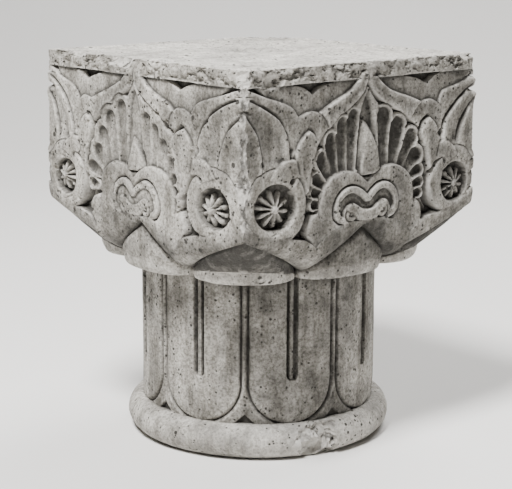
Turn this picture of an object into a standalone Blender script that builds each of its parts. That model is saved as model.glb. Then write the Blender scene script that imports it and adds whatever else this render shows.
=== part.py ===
"""Carved marble column capital: a round, strapped foot under a square block with leaf and shell relief.

The whole capital is one stone. Its front face looks along -Y and its underside rests on Z = 0.
"""

import math
import random

import bmesh
import bpy
from mathutils import Matrix, Vector

# Driving sizes, in metres
HEIGHT = 0.326
BLOCK_SIDE = 0.260
ABACUS_THICKNESS = 0.0138
ABACUS_SETBACK = 0.0025
ABACUS_STEP = 0.0004
ARRIS_SETBACK = 0.0008
RELIEF_DEPTH = 0.010
DRUM_RADIUS = 0.101
DRUM_TOP = 0.1515
ROLL_PROJECTION = 0.014
ROLL_HEIGHT = 0.0288
LEAF_LIP = 0.010
LEAF_STEP = 0.001
CENTRE_LEAF_SETBACK = 0.0045
CORNER_LEAF_REACH = 0.036
CORNER_LEAF_SETBACK = 0.003
PENDANT_RISE = 0.0085
ARCH_RISE = 0.0435
CORNER_RISE = 0.0455
STRAP_GAP = 0.0063
STRAP_FOOT = 0.0300
STRAP_GROOVE = 0.0021
STRAP_GROOVE_DEPTH = 0.0026
GROOVE_INTO_LEAF = 0.0035
SLOT_WIDTH = 0.010
SLOT_DEPTH = 0.0048
SLOT_HEAD_GAP = 0.003
SLOT_FOOT = 0.065
ROUNDEL_RADIUS = 0.0175
ROUNDEL_FLOOR = 0.0012
PETAL_COUNT = 10
FLUTE_DEPTH = 0.0045

# The foot's pattern is cut a little turned against the block, and each face's axis a little off its middle
FOOT_TURN = math.radians(-2.8)
FACE_DRIFT = (0.0035, 0.0, 0.0, -0.005)

# Breakage: how far each loss goes into the stone
FAR_CORNER_LOSS = 0.033
NEAR_CORNER_LOSS = 0.010
NEAR_CORNER_DROP = 0.003
ABACUS_CHIP = 0.007
ABACUS_CHIP_REACH = 0.030
ABACUS_CHIP_PLACE = 0.034
ABACUS_CHIP_DROP = 0.004
ROLL_CHIP = 0.009
ROLL_CHIP_REACH = 0.021
ROLL_CHIP_RISE = 0.015
ROLL_CHIP_HEIGHT = 0.010
ROLL_CHIP_AZIMUTH = math.radians(-17.0)

# Worked out from the sizes above
HALF_SIDE = BLOCK_SIDE / 2
GROUND = HALF_SIDE - RELIEF_DEPTH
ABACUS_FOOT = HEIGHT - ABACUS_THICKNESS
PENDANT_Z = DRUM_TOP + PENDANT_RISE
ARCH_Z = DRUM_TOP + ARCH_RISE
CORNER_Z = DRUM_TOP + CORNER_RISE
EIGHTH = math.radians(45.0)
STRAP_WIDTH = EIGHTH * DRUM_RADIUS - STRAP_GAP

# How far a cutter or a break stands out of what it cuts
CLEAR = 0.012
SLOT_CLEAR = 0.006
BREAK_CLEAR = 0.020

# Half-round ends of the straps, as height against width
STRAP_ROUND = 0.92

# Neighbouring facets that differ by less than this many degrees are joined
FLAT_WITHIN = 0.15

# Edges sharper than this many degrees show as edges, the rest of the round foot is shaded smooth
SHARP_FROM = 25.0

# Profile of a leaf from the drum outwards: share of its reach, share of its lip, number of leaf steps
LEAF_PROFILE = ((0.70, 0.0, 1), (0.95, 0.25, 2), (1.0, 0.75, 4))

# Slopes of the skirt between its start and its edge, in degrees, and how its corner runs out
SKIRT_BULGE = (28, 58)
CORNER_RUN = 0.9

# The relief is drawn on a grid: 130 units from a face's middle to its edge, 160 to 312 up the block
GRID_HALF = 130.0
GRID_FOOT = 160.0
GRID_ARCH = 195.0
GRID_HEAD = 312.0
GRID_UNIT = HALF_SIDE / GRID_HALF
LEVEL_UNIT = RELIEF_DEPTH / 10.0

# Levels above the ground plane: 10 is the block's outermost plane
LEVELS = {
    "skirt": 9.0,
    "shell": 7.4,
    "tip_hollow": 3.2,
    "notched_leaf": 4.0,
    "inner_blade": 6.4,
    "outer_blade": 8.2,
    "band": 8.3,
    "split_leaf": 8.0,
    "rising_leaf": 9.2,
    "stem": 7.0,
    "heart": 7.9,
    "scroll": 9.3,
    "bar": 10.0,
    "leaf": 8.6,
    "ring": 8.6,
    "crescent": 9.4,
}
ROOT_LEVEL = -4
CUT_LEVEL = 22

# Shapes of the left half lie this much lower, so that no two faces that touch share a plane
MIRROR_DROP = 0.05

# Petals of the rosettes, in levels above the recess floor, and shares of their reach
PETAL_PEAK = 6.5
PETAL_TIP = 4.0
PETAL_VALLEY = 1.2
PETAL_ROOT = -1.5
PETAL_REACH = 0.88
VALLEY_REACH = 0.42

# Upper edge of the scalloped skirt under the relief: (grid u, grid z)
SKIRT_EDGE = (
    (0, 197),
    (17, 198),
    (33, 195),
    (45, 189),
    (53.5, 184),
    (61, 190),
    (75, 193),
    (99, 197),
    (130, 206),
)

# Columns of the body between the middle of a face and its corner, in degrees
COLUMNS = (0.0, 9.0, 17.5, 22.5, 27.5, 37.0)

# Shell flutes: head, foot, radius at the head
SHELL_FLUTES = (
    ((15.5, 282), (12, 244), 6.4),
    ((30, 276.5), (20, 243), 6.4),
    ((42, 264.5), (28, 240), 6.2),
    ((51.5, 250), (36, 236), 5.8),
    ((56, 237.5), (44, 231), 4.6),
    ((57, 227), (48, 224), 3.8),
    ((57, 217), (49, 216), 3.6),
)
SHELL_RIM = 3.6
FLUTE_FOOT_SHARE = 0.35
LEDGE_RISE = 1.5
ROUNDEL_CENTRE = (100.5, 219.5)
RING_RADIUS = 29.5
RING_OUTER_LIMIT = 119.0
RING_LOWER_LIMIT = 199.5


def clear_scene():
    for obj in list(bpy.data.objects):
        bpy.data.objects.remove(obj)


def marble():
    material = bpy.data.materials.new("marble")
    material.use_nodes = True
    shader = material.node_tree.nodes["Principled BSDF"]
    shader.inputs["Base Color"].default_value = (0.56, 0.54, 0.50, 1.0)
    shader.inputs["Roughness"].default_value = 0.78
    shader.inputs["Metallic"].default_value = 0.0
    return material


def grid_height(z):
    """Real height of a grid height: the skirt's part follows the arch, the part above it the block."""
    if z < GRID_ARCH:
        return blend(PENDANT_Z, ARCH_Z, (z - GRID_FOOT) / (GRID_ARCH - GRID_FOOT))
    return blend(ARCH_Z, ABACUS_FOOT, (z - GRID_ARCH) / (GRID_HEAD - GRID_ARCH))


def blend(low, high, share):
    return low + (high - low) * share


def interpolate(table, value):
    """Straight-line reading of a table of (value, result) pairs."""
    for (start, first), (end, last) in zip(table, table[1:]):
        if value <= end:
            return blend(first, last, (value - start) / (end - start))
    return table[-1][1]


def teardrop(head, foot, head_radius, foot_radius, head_steps=6, foot_steps=2):
    """Outline of two circles and the straight sides between them, anticlockwise."""
    along = math.atan2(head[1] - foot[1], head[0] - foot[0])
    outline = []
    for centre, radius, start, steps in (
        (head, head_radius, along - math.pi / 2, head_steps),
        (foot, foot_radius, along + math.pi / 2, foot_steps),
    ):
        for step in range(steps + 1):
            angle = start + math.pi * step / steps
            outline.append((centre[0] + radius * math.cos(angle), centre[1] + radius * math.sin(angle)))
    return outline


def circle(centre, radius, sides):
    angles = [2 * math.pi * side / sides for side in range(sides)]
    return [(centre[0] + radius * math.cos(a), centre[1] + radius * math.sin(a)) for a in angles]


def mirrored(outline):
    return [(-u, z) for u, z in outline]


def whole(half):
    """Closed outline from its right half, which starts and ends on the middle line."""
    return [*half, *reversed(mirrored(half[1:-1]))]


def on_face(face):
    """Placing function of one face: grid u and z and a level above the ground, to a point in space."""
    turn = Matrix.Rotation(face * math.pi / 2, 4, "Z")
    drift = FACE_DRIFT[face]

    def place(u, z, level):
        across = u * GRID_UNIT + drift * (1 - (u / GRID_HALF) ** 2)
        return turn @ Vector((across, -(GROUND + level * LEVEL_UNIT), grid_height(z)))

    return place


def on_drum(azimuth):
    """Placing function around the drum: distance along the surface, height, and distance off the surface."""

    def place(along, z, level):
        angle = azimuth + along / DRUM_RADIUS
        radius = DRUM_RADIUS + level
        return Vector((radius * math.sin(angle), -radius * math.cos(angle), z))

    return place


def make_object(name, mesh_maker, collection):
    """Object from a filled bmesh, with its faces turned outwards."""
    mesh = bpy.data.meshes.new(name)
    shape = bmesh.new()
    mesh_maker(shape)
    bmesh.ops.recalc_face_normals(shape, faces=shape.faces)
    bmesh.ops.triangulate(shape, faces=shape.faces)
    shape.to_mesh(mesh)
    shape.free()
    obj = bpy.data.objects.new(name, mesh)
    collection.objects.link(obj)
    return obj


def make_helper(name, mesh_maker, collection):
    obj = make_object(name, mesh_maker, collection)
    obj.hide_render = True
    obj.display_type = "WIRE"
    return obj


def prism(name, outline, low, high, place, collection):
    """Solid between two levels over an outline."""

    def fill(shape):
        rings = []
        for level in (low, high):
            rings.append([shape.verts.new(place(*point, level)) for point in outline])
        bottom, top = rings
        shape.faces.new(list(reversed(bottom)))
        shape.faces.new(top)
        for index in range(len(outline)):
            after = (index + 1) % len(outline)
            shape.faces.new((bottom[index], bottom[after], top[after], top[index]))

    return make_helper(name, fill, collection)


def channel(name, path, width, low, high, place, collection):
    """Solid of even width that follows a path, for cutting a groove."""

    def fill(shape):
        sections = []
        for index, (u, z) in enumerate(path):
            before = path[max(index - 1, 0)]
            after = path[min(index + 1, len(path) - 1)]
            way = Vector((after[0] - before[0], after[1] - before[1])).normalized()
            side = Vector((-way.y, way.x)) * width / 2
            corners = ((-1, low), (1, low), (1, high), (-1, high))
            points = [place(u + sign * side.x, z + sign * side.y, level) for sign, level in corners]
            sections.append([shape.verts.new(point) for point in points])
        for first, second in zip(sections, sections[1:]):
            for corner in range(4):
                after = (corner + 1) % 4
                shape.faces.new((first[corner], first[after], second[after], second[corner]))
        shape.faces.new(sections[0])
        shape.faces.new(list(reversed(sections[-1])))

    return make_helper(name, fill, collection)


def roll_rows():
    """Profile of the rounded base roll, from its underside up to the drum."""
    half = ROLL_HEIGHT / 2
    centre = DRUM_RADIUS + ROLL_PROJECTION - half
    angles = [math.radians(degrees) for degrees in (-68, -24, 20, 62)]
    rows = [(centre + half * math.cos(angle), half + half * math.sin(angle)) for angle in angles]
    rows[0] = (rows[0][0], 0.0)
    return [*rows, (DRUM_RADIUS, ROLL_HEIGHT)]


def leaf_share(angle):
    """0 at a pendant point between two leaves, 1 in the middle of a leaf."""
    nearest = min(angle, EIGHTH - angle) / (EIGHTH / 2)
    return math.sqrt(1 - nearest**4) if nearest < 1 else 0.0


def leaf_rows(angle):
    """Underside, lip and front of the fold-out leaves, at an angle from the middle of a face."""
    share = leaf_share(angle)
    centre_reach = HALF_SIDE - CENTRE_LEAF_SETBACK - DRUM_RADIUS
    reach = centre_reach if angle < EIGHTH / 2 else CORNER_LEAF_REACH
    rows = []
    for out, lip, steps in LEAF_PROFILE:
        z = DRUM_TOP + steps * LEAF_STEP + lip * LEAF_LIP * share
        rows.append((DRUM_RADIUS + out * reach * share, z))
    return rows


def skirt_rows(angle):
    """The curved underside of the block, from the leaves out to the skirt's scalloped edge."""
    outer = (GROUND + LEVELS["skirt"] * LEVEL_UNIT) / math.cos(angle)
    edge_u = GRID_HALF * math.tan(angle)
    edge = (outer, grid_height(interpolate(SKIRT_EDGE, edge_u)))
    share = abs(angle - EIGHTH / 2) / (EIGHTH / 2)
    pendant = (DRUM_RADIUS, PENDANT_Z)
    if angle < EIGHTH / 2:
        reach = (HALF_SIDE - CENTRE_LEAF_SETBACK - DRUM_RADIUS) * leaf_share(angle)
        start = (DRUM_RADIUS + reach, blend(pendant[1], ARCH_Z, share))
    else:
        corner = HALF_SIDE * math.sqrt(2) - CORNER_LEAF_SETBACK
        start = (blend(pendant[0], corner, share**CORNER_RUN), blend(pendant[1], CORNER_Z, share))
    rows = [start]
    for slope in SKIRT_BULGE:
        bulge = math.radians(slope)
        rows.append((blend(start[0], edge[0], math.sin(bulge)), blend(edge[1], start[1], math.cos(bulge))))
    return [*rows, edge]


def block_rows(angle):
    """The block's ground plane and the abacus above it."""
    last = math.radians(COLUMNS[-1])
    corner_share = max(0.0, (angle - last) / (EIGHTH - last))
    ground = blend(GROUND, HALF_SIDE - ARRIS_SETBACK, corner_share)
    edge_u = GRID_HALF * math.tan(angle)
    ledge = grid_height(interpolate(SKIRT_EDGE, edge_u) + LEDGE_RISE)
    abacus = (HALF_SIDE - ABACUS_SETBACK) / math.cos(angle)
    return [
        (ground / math.cos(angle), ledge),
        (ground / math.cos(angle), ABACUS_FOOT),
        (abacus, ABACUS_FOOT + ABACUS_STEP),
        (abacus, HEIGHT),
    ]


def column(azimuth, angle):
    """One upright line of the body's surface, bottom to top, as points in space."""
    foot = [*roll_rows(), (DRUM_RADIUS, DRUM_TOP), *leaf_rows(angle)]
    skirt, block = skirt_rows(angle), block_rows(angle)
    near_pendant = 1 - abs(angle - EIGHTH / 2) / (EIGHTH / 2)
    turns = [FOOT_TURN] * len(foot) + [FOOT_TURN * near_pendant] + [0.0] * (len(skirt) - 1 + len(block))
    line = []
    for (radius, z), turn in zip([*foot, *skirt, *block], turns):
        line.append(Vector((radius * math.sin(azimuth + turn), -radius * math.cos(azimuth + turn), z)))
    return line


def body(collection):
    """The capital before its carving, lofted around its axis."""

    def fill(shape):
        lines = []
        for quarter in range(4):
            middle = quarter * math.pi / 2
            for degrees in [*COLUMNS, 45.0, *[-d for d in reversed(COLUMNS[1:])]]:
                angle = math.radians(degrees)
                turned = middle + angle + (math.pi / 2 if degrees < 0 else 0.0)
                points = column(turned, abs(angle))
                lines.append([shape.verts.new(point) for point in points])
        for index, line in enumerate(lines):
            after = lines[(index + 1) % len(lines)]
            for low in range(len(line) - 1):
                shape.faces.new((line[low], after[low], after[low + 1], line[low + 1]))
        shape.faces.new([line[0] for line in reversed(lines)])
        shape.faces.new([line[-1] for line in lines])
        bmesh.ops.dissolve_limit(shape, angle_limit=math.radians(0.05), verts=shape.verts, edges=shape.edges)

    return make_object("capital", fill, collection)


def carve_foot(sunk):
    """Straps with round ends and a slot down the middle of each, all round the drum."""
    bend = STRAP_WIDTH / 2
    for strap in range(8):
        azimuth = FOOT_TURN + (strap + 0.5) * EIGHTH
        place = on_drum(azimuth)
        spring = STRAP_FOOT + STRAP_ROUND * bend
        head = DRUM_TOP + GROOVE_INTO_LEAF
        path = [(-bend, head)]
        for step in range(7):
            angle = math.pi * (1 + step / 6)
            path.append((bend * math.cos(angle), spring + STRAP_ROUND * bend * math.sin(angle)))
        path.append((bend, head))
        channel(f"strap_line_{strap}", path, STRAP_GROOVE, -STRAP_GROOVE_DEPTH, GROOVE_INTO_LEAF, place, sunk)
        half = SLOT_WIDTH / 2
        outline = teardrop(
            (0.0, PENDANT_Z - SLOT_HEAD_GAP - half),
            (0.0, SLOT_FOOT + half),
            half,
            half,
            head_steps=1,
            foot_steps=3,
        )
        prism(f"slot_{strap}", outline, -SLOT_DEPTH, SLOT_CLEAR, place, sunk)


def roundel(name, side, place, raised, sunk, petals):
    """Ring, round recess and rosette near one corner of a face."""
    u, z = ROUNDEL_CENTRE
    ring = circle((u, z + 1), RING_RADIUS, 14)
    ring = [(min(a, RING_OUTER_LIMIT), max(b, RING_LOWER_LIMIT)) for a, b in ring]
    ring = [point for index, point in enumerate(ring) if point != ring[index - 1]]
    crescent = [(82, 241.5), (74, 235), (70.3, 224), (71, 212), (76, 202.5), (88, 196.5), (104, 198)]
    crescent += [(95, 203), (86.5, 209), (84, 219), (86, 231)]
    opening = circle((u, z), ROUNDEL_RADIUS / GRID_UNIT, 13)
    floor = -ROUNDEL_FLOOR / LEVEL_UNIT
    for points, part in ((ring, "ring"), (crescent, "crescent")):
        points = points if side > 0 else mirrored(points)
        prism(f"{name}_{part}", points, ROOT_LEVEL, LEVELS[part], place, raised)
    opening = opening if side > 0 else mirrored(opening)
    prism(f"{name}_recess", opening, floor, CUT_LEVEL, place, sunk)
    rosette(f"{name}_rosette", (side * u, z), floor, place, petals)


def rosette(name, centre, floor, place, petals):
    """Ring of ridged petals round a small boss, rising from the recess floor."""
    reach = PETAL_REACH * ROUNDEL_RADIUS / GRID_UNIT

    def point(share, turn, level):
        radius = reach * share
        return place(centre[0] + radius * math.cos(turn), centre[1] + radius * math.sin(turn), level)

    def fill(shape):
        peak = shape.verts.new(point(0, 0, floor + PETAL_PEAK))
        base = shape.verts.new(point(0, 0, floor + PETAL_ROOT))
        rims = []
        for petal in range(2 * PETAL_COUNT):
            angle = math.pi * petal / PETAL_COUNT
            share, level = (1.0, PETAL_TIP) if petal % 2 else (VALLEY_REACH, PETAL_VALLEY)
            rim = point(share, angle, floor + level)
            foot = point(share, angle, floor + PETAL_ROOT)
            rims.append((shape.verts.new(rim), shape.verts.new(foot)))
        for first, second in zip(rims, [*rims[1:], rims[0]]):
            shape.faces.new((first[0], second[0], peak))
            shape.faces.new((second[1], first[1], base))
            shape.faces.new((first[1], second[1], second[0], first[0]))

    make_helper(name, fill, petals)


def scallops():
    """Rim of the shell's right half: an arc round the head of each flute, from the top down."""
    rim = []
    for head, foot, radius in SHELL_FLUTES:
        along = math.atan2(head[1] - foot[1], head[0] - foot[0])
        reach = radius + SHELL_RIM
        for turn in (42, 0, -42):
            angle = along + math.radians(turn)
            rim.append((head[0] + reach * math.cos(angle), head[1] + reach * math.sin(angle)))
    return rim


def shell(name, place, raised, sunk):
    """Fan of fluted petals behind the leaf, with a pointed one in the middle."""
    outline = [(0, 308.5), (5, 299), *scallops(), (48, 203), (0, 203)]
    prism(f"{name}_fan", whole(outline), ROOT_LEVEL, LEVELS["shell"], place, raised)
    for side in (1, -1):
        for index, (head, foot, radius) in enumerate(SHELL_FLUTES):
            steps = 3 if index < 4 else 2
            hollow = teardrop(head, foot, radius, FLUTE_FOOT_SHARE * radius, head_steps=steps, foot_steps=1)
            hollow = hollow if side > 0 else mirrored(hollow)
            floor = LEVELS["shell"] - FLUTE_DEPTH / LEVEL_UNIT + MIRROR_DROP * index
            prism(f"{name}_flute_{side}_{index}", hollow, floor, CUT_LEVEL, place, sunk)
    inner = [(0, 301), (5, 291), (7, 279), (6.5, 262)]
    prism(f"{name}_tip_hollow", whole([*inner, (0, 260)]), LEVELS["tip_hollow"], CUT_LEVEL, place, sunk)


def face_leaves(name, place, raised, petals):
    """The leaf work on one half-symmetrical face: band, split leaves, blades, heart and scroll."""
    tent = [(8.5, 317), (13, 310), (24, 303), (38, 298), (55, 290.5)]
    tent += [(48, 279), (35, 287), (14, 298), (5, 303), (0.6, 311)]
    notched = [(16, 313.5), (50, 313.5), (62.5, 304.5), (77, 313.5), (108, 313.5), (64, 284)]
    split = [(122, 310), (101, 302), (89, 297), (79, 287.5), (72, 290), (63, 291), (54, 286), (47, 276.5)]
    split += [(57, 266), (64, 250), (86, 249), (87, 261), (93.5, 275), (104, 287.5), (126, 302)]
    inner_blade = [(126, 300), (104, 285.5), (92, 270), (87, 248)]
    inner_blade += [(106.5, 249), (109, 261), (116, 275), (127, 288)]
    outer_blade = [(128, 285), (126.5, 282.5), (117.5, 270), (112, 258), (110.5, 249), (116, 249)]
    outer_blade += [(119, 261), (127.5, 272)]
    rising = [(67.5, 275.5), (75, 270), (80.5, 257), (89, 255.5), (98, 252), (104, 244), (96, 236), (84, 237)]
    rising += [(72, 226), (67.5, 238), (60, 259), (59, 268)]
    pieces = {
        "notched_leaf": notched,
        "inner_blade": inner_blade,
        "outer_blade": outer_blade,
        "band": tent,
        "split_leaf": split,
        "rising_leaf": rising,
    }
    for side, drop in ((1, 0.0), (-1, MIRROR_DROP)):
        for part, outline in pieces.items():
            points = outline if side > 0 else mirrored(outline)
            prism(f"{name}_{part}_{side}", points, ROOT_LEVEL, LEVELS[part] - drop, place, raised)
    stem = whole([(0, 320), (8.7, 320), (8.2, 313), (4, 304), (0, 309.5)])
    prism(f"{name}_stem", stem, ROOT_LEVEL, LEVELS["stem"], place, raised)
    heart = [(0, 230.5), (8, 237.5), (18, 241), (29, 241.5), (39, 238), (47, 231), (52.5, 220), (53.5, 208)]
    heart += [(60, 206), (65.5, 200), (62, 192.5), (53.5, 187.5), (42, 193), (30, 198), (0, 200)]
    prism(f"{name}_heart", whole(heart), ROOT_LEVEL, LEVELS["heart"], place, raised)
    scroll = [(0, 219.5), (8, 225.5), (18, 228), (27, 225), (34, 216), (35, 206), (29, 200.5), (0, 201.2)]
    prism(f"{name}_scroll", whole(scroll), ROOT_LEVEL, LEVELS["scroll"], place, raised)
    bar = [(0, 207.5), (8, 209.5), (16, 213.5), (22.5, 210), (21.5, 204.5), (15, 202.6), (0, 203.2)]
    prism(f"{name}_bar", whole(bar), ROOT_LEVEL, LEVELS["bar"], place, petals)
    leaf = [(0, 279.5), (7, 268), (11, 255), (12, 238), (0, 236)]
    prism(f"{name}_leaf", whole(leaf), ROOT_LEVEL, LEVELS["leaf"], place, petals)


def lump(name, centre, size, turn, seed, collection):
    """Rough low boulder shape for cutting a break."""
    chance = random.Random(seed)

    def fill(shape):
        bmesh.ops.create_icosphere(shape, subdivisions=1, radius=1.0)
        for vert in shape.verts:
            vert.co *= chance.uniform(0.86, 1.08)
        spread = Matrix.Diagonal((*size, 1.0))
        place = Matrix.Translation(centre) @ Matrix.Rotation(turn, 4, "Z") @ spread
        bmesh.ops.transform(shape, matrix=place, verts=shape.verts)

    make_helper(name, fill, collection)


def far_corner_cut(collection):
    """The lost rear corner of the abacus: a leaning wedge cut across the diagonal."""
    middle = HALF_SIDE * math.sqrt(2) - FAR_CORNER_LOSS
    depth = 3 * ABACUS_THICKNESS
    outside = middle + FAR_CORNER_LOSS + BREAK_CLEAR
    section = [(middle, HEIGHT + CLEAR), (middle, HEIGHT - 0.3 * depth)]
    section += [(outside, HEIGHT - depth), (outside, HEIGHT + CLEAR)]

    def fill(shape):
        ends = []
        for across in (-FAR_CORNER_LOSS * 2, FAR_CORNER_LOSS * 2):
            points = [Matrix.Rotation(EIGHTH, 4, "Z") @ Vector((out, across, z)) for out, z in section]
            ends.append([shape.verts.new(point) for point in points])
        shape.faces.new(ends[0])
        shape.faces.new(list(reversed(ends[1])))
        for index in range(4):
            after = (index + 1) % 4
            shape.faces.new((ends[0][index], ends[0][after], ends[1][after], ends[1][index]))

    make_helper("far_corner_break", fill, collection)


def breaks(collection):
    far_corner_cut(collection)
    near = -HALF_SIDE + ABACUS_SETBACK
    lump(
        "near_corner_break",
        Vector((near, near, ABACUS_FOOT - NEAR_CORNER_DROP)),
        (NEAR_CORNER_LOSS, 1.4 * NEAR_CORNER_LOSS, 1.9 * NEAR_CORNER_LOSS),
        -EIGHTH,
        3,
        collection,
    )
    lump(
        "abacus_chip",
        Vector((near, ABACUS_CHIP_PLACE, HEIGHT - ABACUS_CHIP_DROP)),
        (ABACUS_CHIP, ABACUS_CHIP_REACH, ABACUS_CHIP),
        0.0,
        5,
        collection,
    )
    reach = DRUM_RADIUS + ROLL_PROJECTION
    azimuth = ROLL_CHIP_AZIMUTH
    lump(
        "roll_chip",
        Vector((reach * math.sin(azimuth), -reach * math.cos(azimuth), ROLL_CHIP_HEIGHT)),
        (ROLL_CHIP_REACH, ROLL_CHIP, ROLL_CHIP_RISE),
        azimuth,
        8,
        collection,
    )


def add_boolean(obj, name, operation, collection):
    modifier = obj.modifiers.new(name, "BOOLEAN")
    modifier.operation = operation
    modifier.operand_type = "COLLECTION"
    modifier.collection = collection
    modifier.solver = "EXACT"
    merge = obj.modifiers.new(f"{name}_flat_faces", "DECIMATE")
    merge.decimate_type = "DISSOLVE"
    merge.angle_limit = math.radians(FLAT_WITHIN)
    obj.modifiers.new(f"{name}_triangles", "TRIANGULATE")


def make_collection(name):
    collection = bpy.data.collections.new(name)
    bpy.context.scene.collection.children.link(collection)
    return collection


def main():
    clear_scene()
    raised = make_collection("raised_work")
    foot_work = make_collection("foot_work")
    sunk = make_collection("sunk_work")
    petals = make_collection("work_in_recesses")
    losses = make_collection("losses")
    capital = body(bpy.context.scene.collection)
    carve_foot(foot_work)
    for face in range(4):
        place = on_face(face)
        face_leaves(f"face_{face}", place, raised, petals)
        shell(f"shell_{face}", place, raised, sunk)
        for side, hand in ((1, "right"), (-1, "left")):
            roundel(f"roundel_{face}_{hand}", side, place, raised, sunk, petals)
    breaks(losses)
    add_boolean(capital, "carve_foot", "DIFFERENCE", foot_work)
    add_boolean(capital, "raise_relief", "UNION", raised)
    add_boolean(capital, "sink_hollows", "DIFFERENCE", sunk)
    add_boolean(capital, "fill_recesses", "UNION", petals)
    add_boolean(capital, "break_edges", "DIFFERENCE", losses)
    capital.data.shade_smooth()
    capital.data.set_sharp_from_angle(angle=math.radians(SHARP_FROM))
    capital.data.materials.append(marble())


main()
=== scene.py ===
import math
import bpy
import numpy as np
from mathutils import Matrix, Vector


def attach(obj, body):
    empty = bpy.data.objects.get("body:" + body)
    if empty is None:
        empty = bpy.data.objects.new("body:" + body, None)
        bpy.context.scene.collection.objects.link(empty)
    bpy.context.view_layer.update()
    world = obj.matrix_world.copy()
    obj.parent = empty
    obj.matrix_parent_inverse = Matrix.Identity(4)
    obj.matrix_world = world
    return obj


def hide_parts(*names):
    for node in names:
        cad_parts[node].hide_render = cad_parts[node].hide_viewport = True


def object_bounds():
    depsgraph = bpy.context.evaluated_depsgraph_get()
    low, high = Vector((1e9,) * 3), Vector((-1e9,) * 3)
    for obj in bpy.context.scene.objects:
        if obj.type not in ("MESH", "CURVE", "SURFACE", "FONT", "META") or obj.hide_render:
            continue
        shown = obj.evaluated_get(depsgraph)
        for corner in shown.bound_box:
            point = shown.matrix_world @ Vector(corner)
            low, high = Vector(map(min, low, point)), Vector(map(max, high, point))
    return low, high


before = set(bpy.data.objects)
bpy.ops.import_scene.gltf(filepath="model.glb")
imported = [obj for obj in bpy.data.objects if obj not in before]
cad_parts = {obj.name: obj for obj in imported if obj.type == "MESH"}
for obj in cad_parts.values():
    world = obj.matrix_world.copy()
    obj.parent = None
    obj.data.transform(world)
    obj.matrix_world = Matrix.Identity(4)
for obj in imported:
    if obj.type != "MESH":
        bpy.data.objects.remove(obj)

cadBox = [list(map(float, corner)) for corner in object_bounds()]
print("frame loaded, CAD box", cadBox)

mm = 0.001

# main measures of the stone in millimetres, the box comes from the frame
stone = {
    "half": (cadBox[1][0] - cadBox[0][0]) / 2 / mm,
    "height": cadBox[1][2] / mm,
    "bandFoot": 312.2,
    "bandSetback": 2.5,
    "reliefDepth": 10.0,
    "drumRadius": 101.0,
    "drumTop": 151.5,
    "rollRadius": 114.6,
    "rollHeight": 28.8,
    "pendantZ": 160.0,
    "archZ": 195.0,
    "cornerZ": 197.0,
    "centreLeafSetback": 4.5,
    "cornerLeafReach": 36.0,
    "footTurn": -2.8,      # degrees, the foot sits a little turned under the block
}

gridStep = 0.4      # design grid of the relief, mm
faceColumns = 400   # columns across one face
targetTriangles = 190000


# helper maths
def smoothStep(value, low, high):
    t = np.clip((value - low) / (high - low), 0.0, 1.0)
    return t * t * (3 - 2 * t)


def smoothCurve(points, steps=6):
    # Catmull-Rom curve through the given points
    pts = [points[0], *points, points[-1]]
    out = []
    for a, b, c, d in zip(pts, pts[1:], pts[2:], pts[3:]):
        a, b, c, d = (np.array(p, float) for p in (a, b, c, d))
        for i in range(steps):
            t = i / steps
            bend = 2 * b + (c - a) * t + (2 * a - 5 * b + 4 * c - d) * t**2
            out.append(0.5 * (bend + (3 * b - a - 3 * c + d) * t**3))
    out.append(np.array(points[-1], float))
    return out


def outlineFrom(*strokes):
    # closed outline from smooth strokes that meet in corners
    out = []
    for stroke in strokes:
        out += smoothCurve(stroke)[:-1] if len(stroke) > 1 else [np.array(stroke[0], float)]
    last = np.array(strokes[-1][-1], float)
    if np.hypot(*(last - out[0])) > 0.05:
        out.append(last)
    return np.array(out)


def valueNoise(x, y, scale, seed):
    # smooth repeatable noise, 0 to 1
    table = np.random.default_rng(seed).random((64, 64))
    fx, fy = x / scale, y / scale
    ix, iy = np.floor(fx).astype(int), np.floor(fy).astype(int)
    tx, ty = fx - ix, fy - iy
    tx, ty = tx * tx * (3 - 2 * tx), ty * ty * (3 - 2 * ty)
    a = table[ix % 64, iy % 64]
    b = table[(ix + 1) % 64, iy % 64]
    c = table[ix % 64, (iy + 1) % 64]
    d = table[(ix + 1) % 64, (iy + 1) % 64]
    return (a * (1 - tx) + b * tx) * (1 - ty) + (c * (1 - tx) + d * tx) * ty


def layeredNoise(x, y, scale, seed, octaves=4):
    total, weight = 0.0, 0.0
    for octave in range(octaves):
        part = 0.55**octave
        total = total + part * valueNoise(x, y, scale / 2**octave, seed + 7 * octave)
        weight += part
    return total / weight


# the relief drawn on its own grid
gridU = np.arange(-134.0, 134.0 + gridStep, gridStep)
gridZ = np.arange(154.0, 327.0 + gridStep, gridStep)
meshU, meshZ = np.meshgrid(gridU, gridZ)

# every group of shapes is drawn symmetrical, and each face has it cut at its own places: drawn u, cut u
evenTable = ((-130, 130), (-130, 130))
evenShell = (
    # flute head, foot, head radius
    ((15.5, 284.0), (15.0, 244.0), 6.2),
    ((29.0, 277.5), (25.0, 243.0), 6.2),
    ((41.0, 265.5), (34.0, 240.0), 6.2),
    ((50.8, 250.5), (40.0, 237.0), 5.8),
    ((55.8, 237.5), (46.0, 231.5), 4.6),
    ((57.2, 227.0), (50.0, 224.5), 3.9),
    ((57.0, 217.2), (51.0, 216.0), 3.6),
)

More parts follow.
